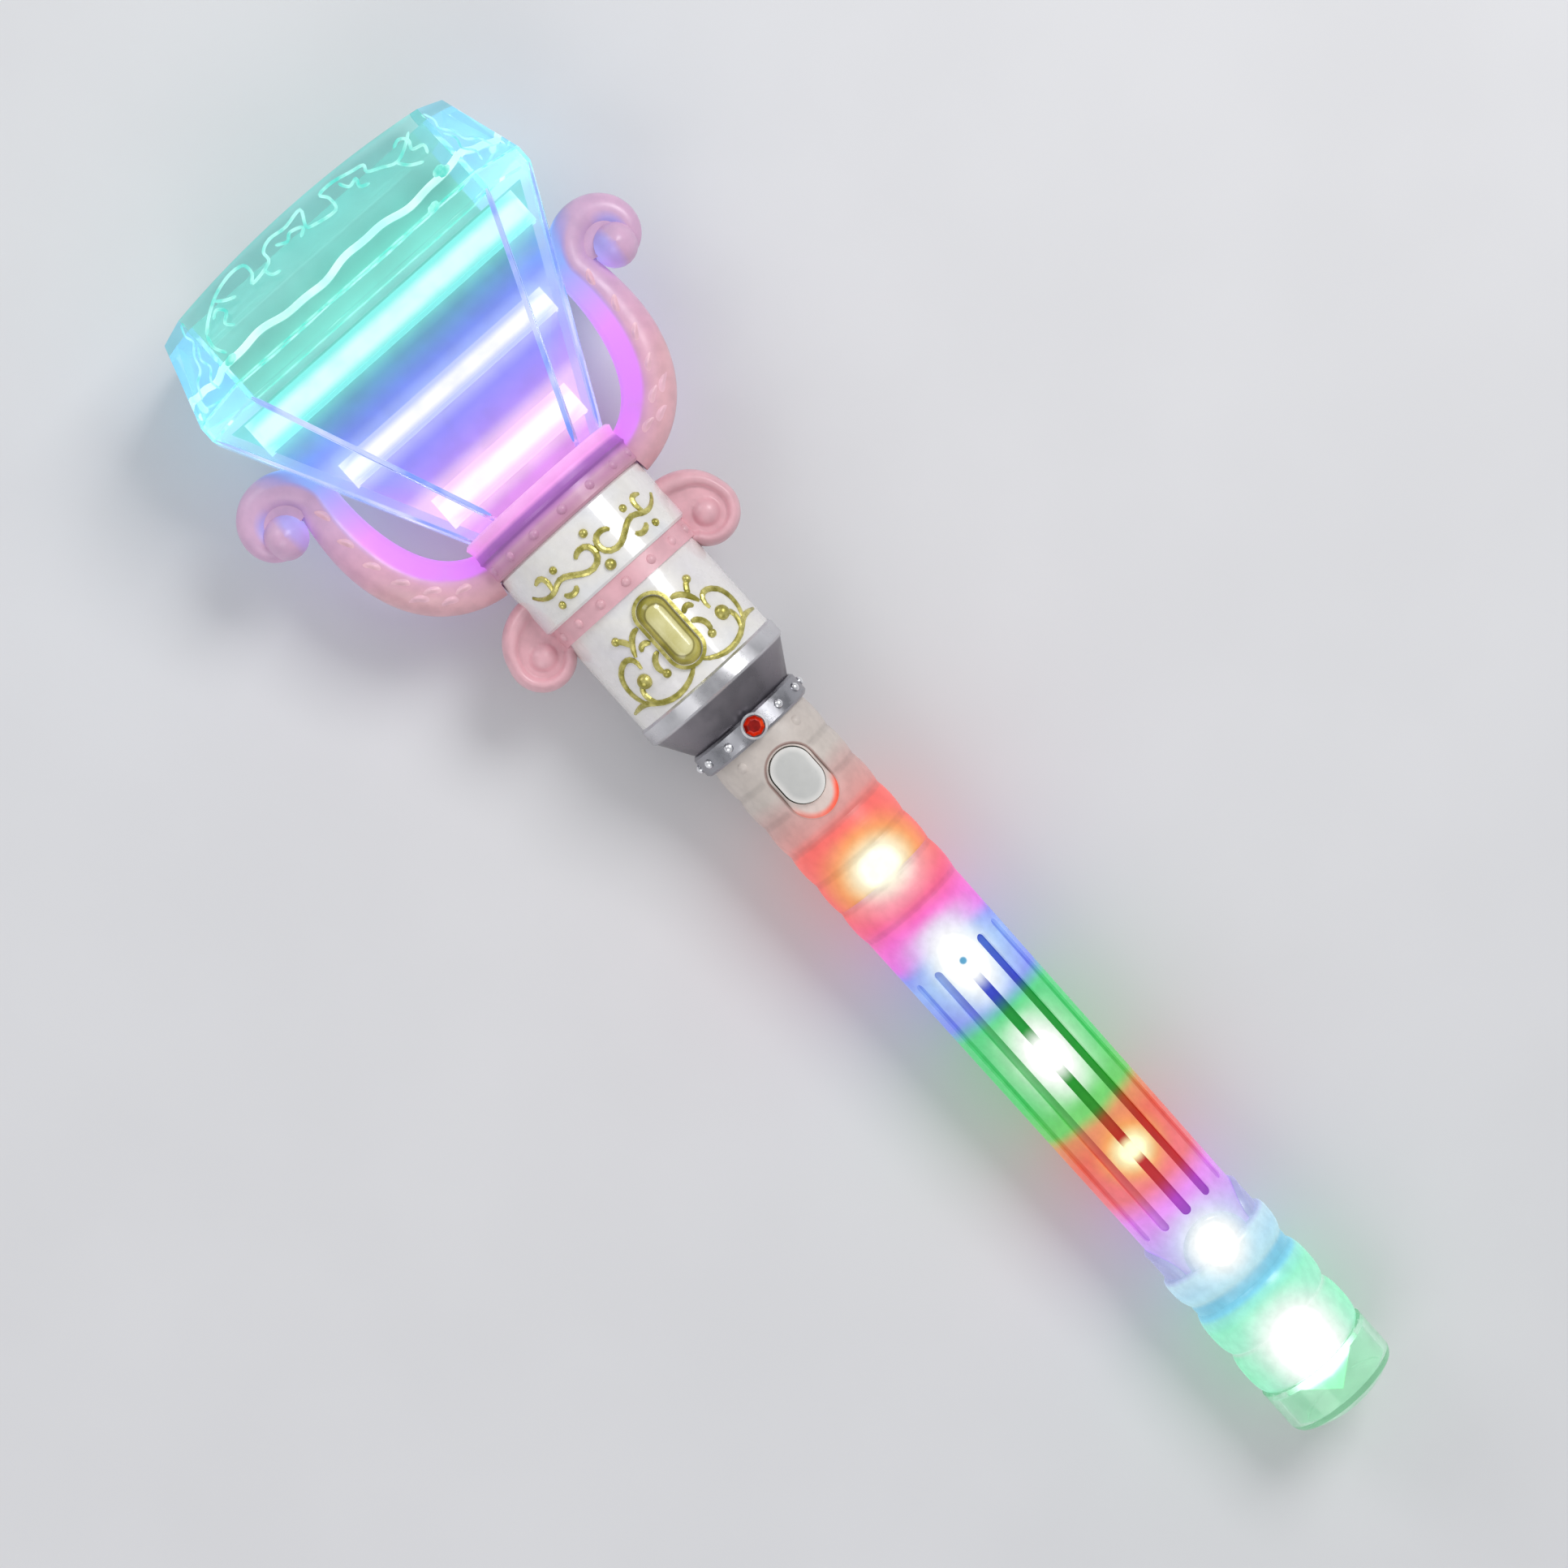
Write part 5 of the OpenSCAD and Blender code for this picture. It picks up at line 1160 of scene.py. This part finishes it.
# Camera at the photograph's place: over the neck, looking almost straight down on it
TURN, LEAN, YAW = (math.radians(a) for a in (41.828, 3.995, 1.895))
CAMERA_AT = (-32.09, 870, 264.2)
FOCAL_PX, PHOTO_PX, SENSOR = 4520.5, 1932, 36
turn = Matrix.Rotation(TURN, 3, "Z") @ Matrix.Rotation(LEAN, 3, "X") @ Matrix.Rotation(YAW, 3, "Y")
basis = Matrix((RIGHT, ALONG, FRONT)).transposed()
camera_data = bpy.data.cameras.new("camera")
camera_data.sensor_fit = "HORIZONTAL"
camera_data.sensor_width = SENSOR
camera_data.lens = FOCAL_PX / PHOTO_PX * SENSOR
camera_data.clip_start = 0.01
camera = bpy.data.objects.new("camera", camera_data)
scene.collection.objects.link(camera)
camera.matrix_world = Matrix.Translation(spot(*CAMERA_AT)) @ (basis @ turn.transposed()).to_4x4()
scene.camera = camera

# Pale floor, soft studio light
FLOOR_HALF = 3
floor_look = Look("pale_floor", Roughness=0.6)
floor_look.give("Base Color", floor_look.speckle(rgb(222, 222, 224), 14, 0.985, 1.015))
corners = [(x * FLOOR_HALF, y * FLOOR_HALF, 0) for x, y in ((-1, -1), (1, -1), (1, 1), (-1, 1))]
mesh = bpy.data.meshes.new("floor")
mesh.from_pydata(corners, [], [(0, 1, 2, 3)])
mesh.materials.append(floor_look.material)
floor = bpy.data.objects.new("floor", mesh)
scene.collection.objects.link(floor)

world = bpy.data.worlds.new("studio")
scene.world = world
world.use_nodes = True
sky = world.node_tree.nodes["Background"].inputs
sky["Color"].default_value = (*rgb(236, 238, 242), 1)
sky["Strength"].default_value = 0.5


def lamp_at(name, place, aim, size, power):
    """Square area lamp that looks from a place to an aim."""
    data = bpy.data.lights.new(name, "AREA")
    data.shape = "RECTANGLE"
    data.size = data.size_y = size
    data.energy = power
    light = bpy.data.objects.new(name, data)
    scene.collection.objects.link(light)
    light.location = place
    light.rotation_euler = (Vector(aim) - Vector(place)).to_track_quat("-Z", "Y").to_euler()


lamp_at("key_light", (0.25, -0.75, 0.95), (0.05, 0, 0), 0.5, 6.8)
lamp_at("fill_light", (-0.45, 0.85, 0.8), (0, 0, 0), 0.8, 3.4)
lamp_at("end_light", (0.95, 0.25, 0.6), (0.1, 0, 0), 0.5, 1.8)

scene.view_settings.view_transform = "Standard"
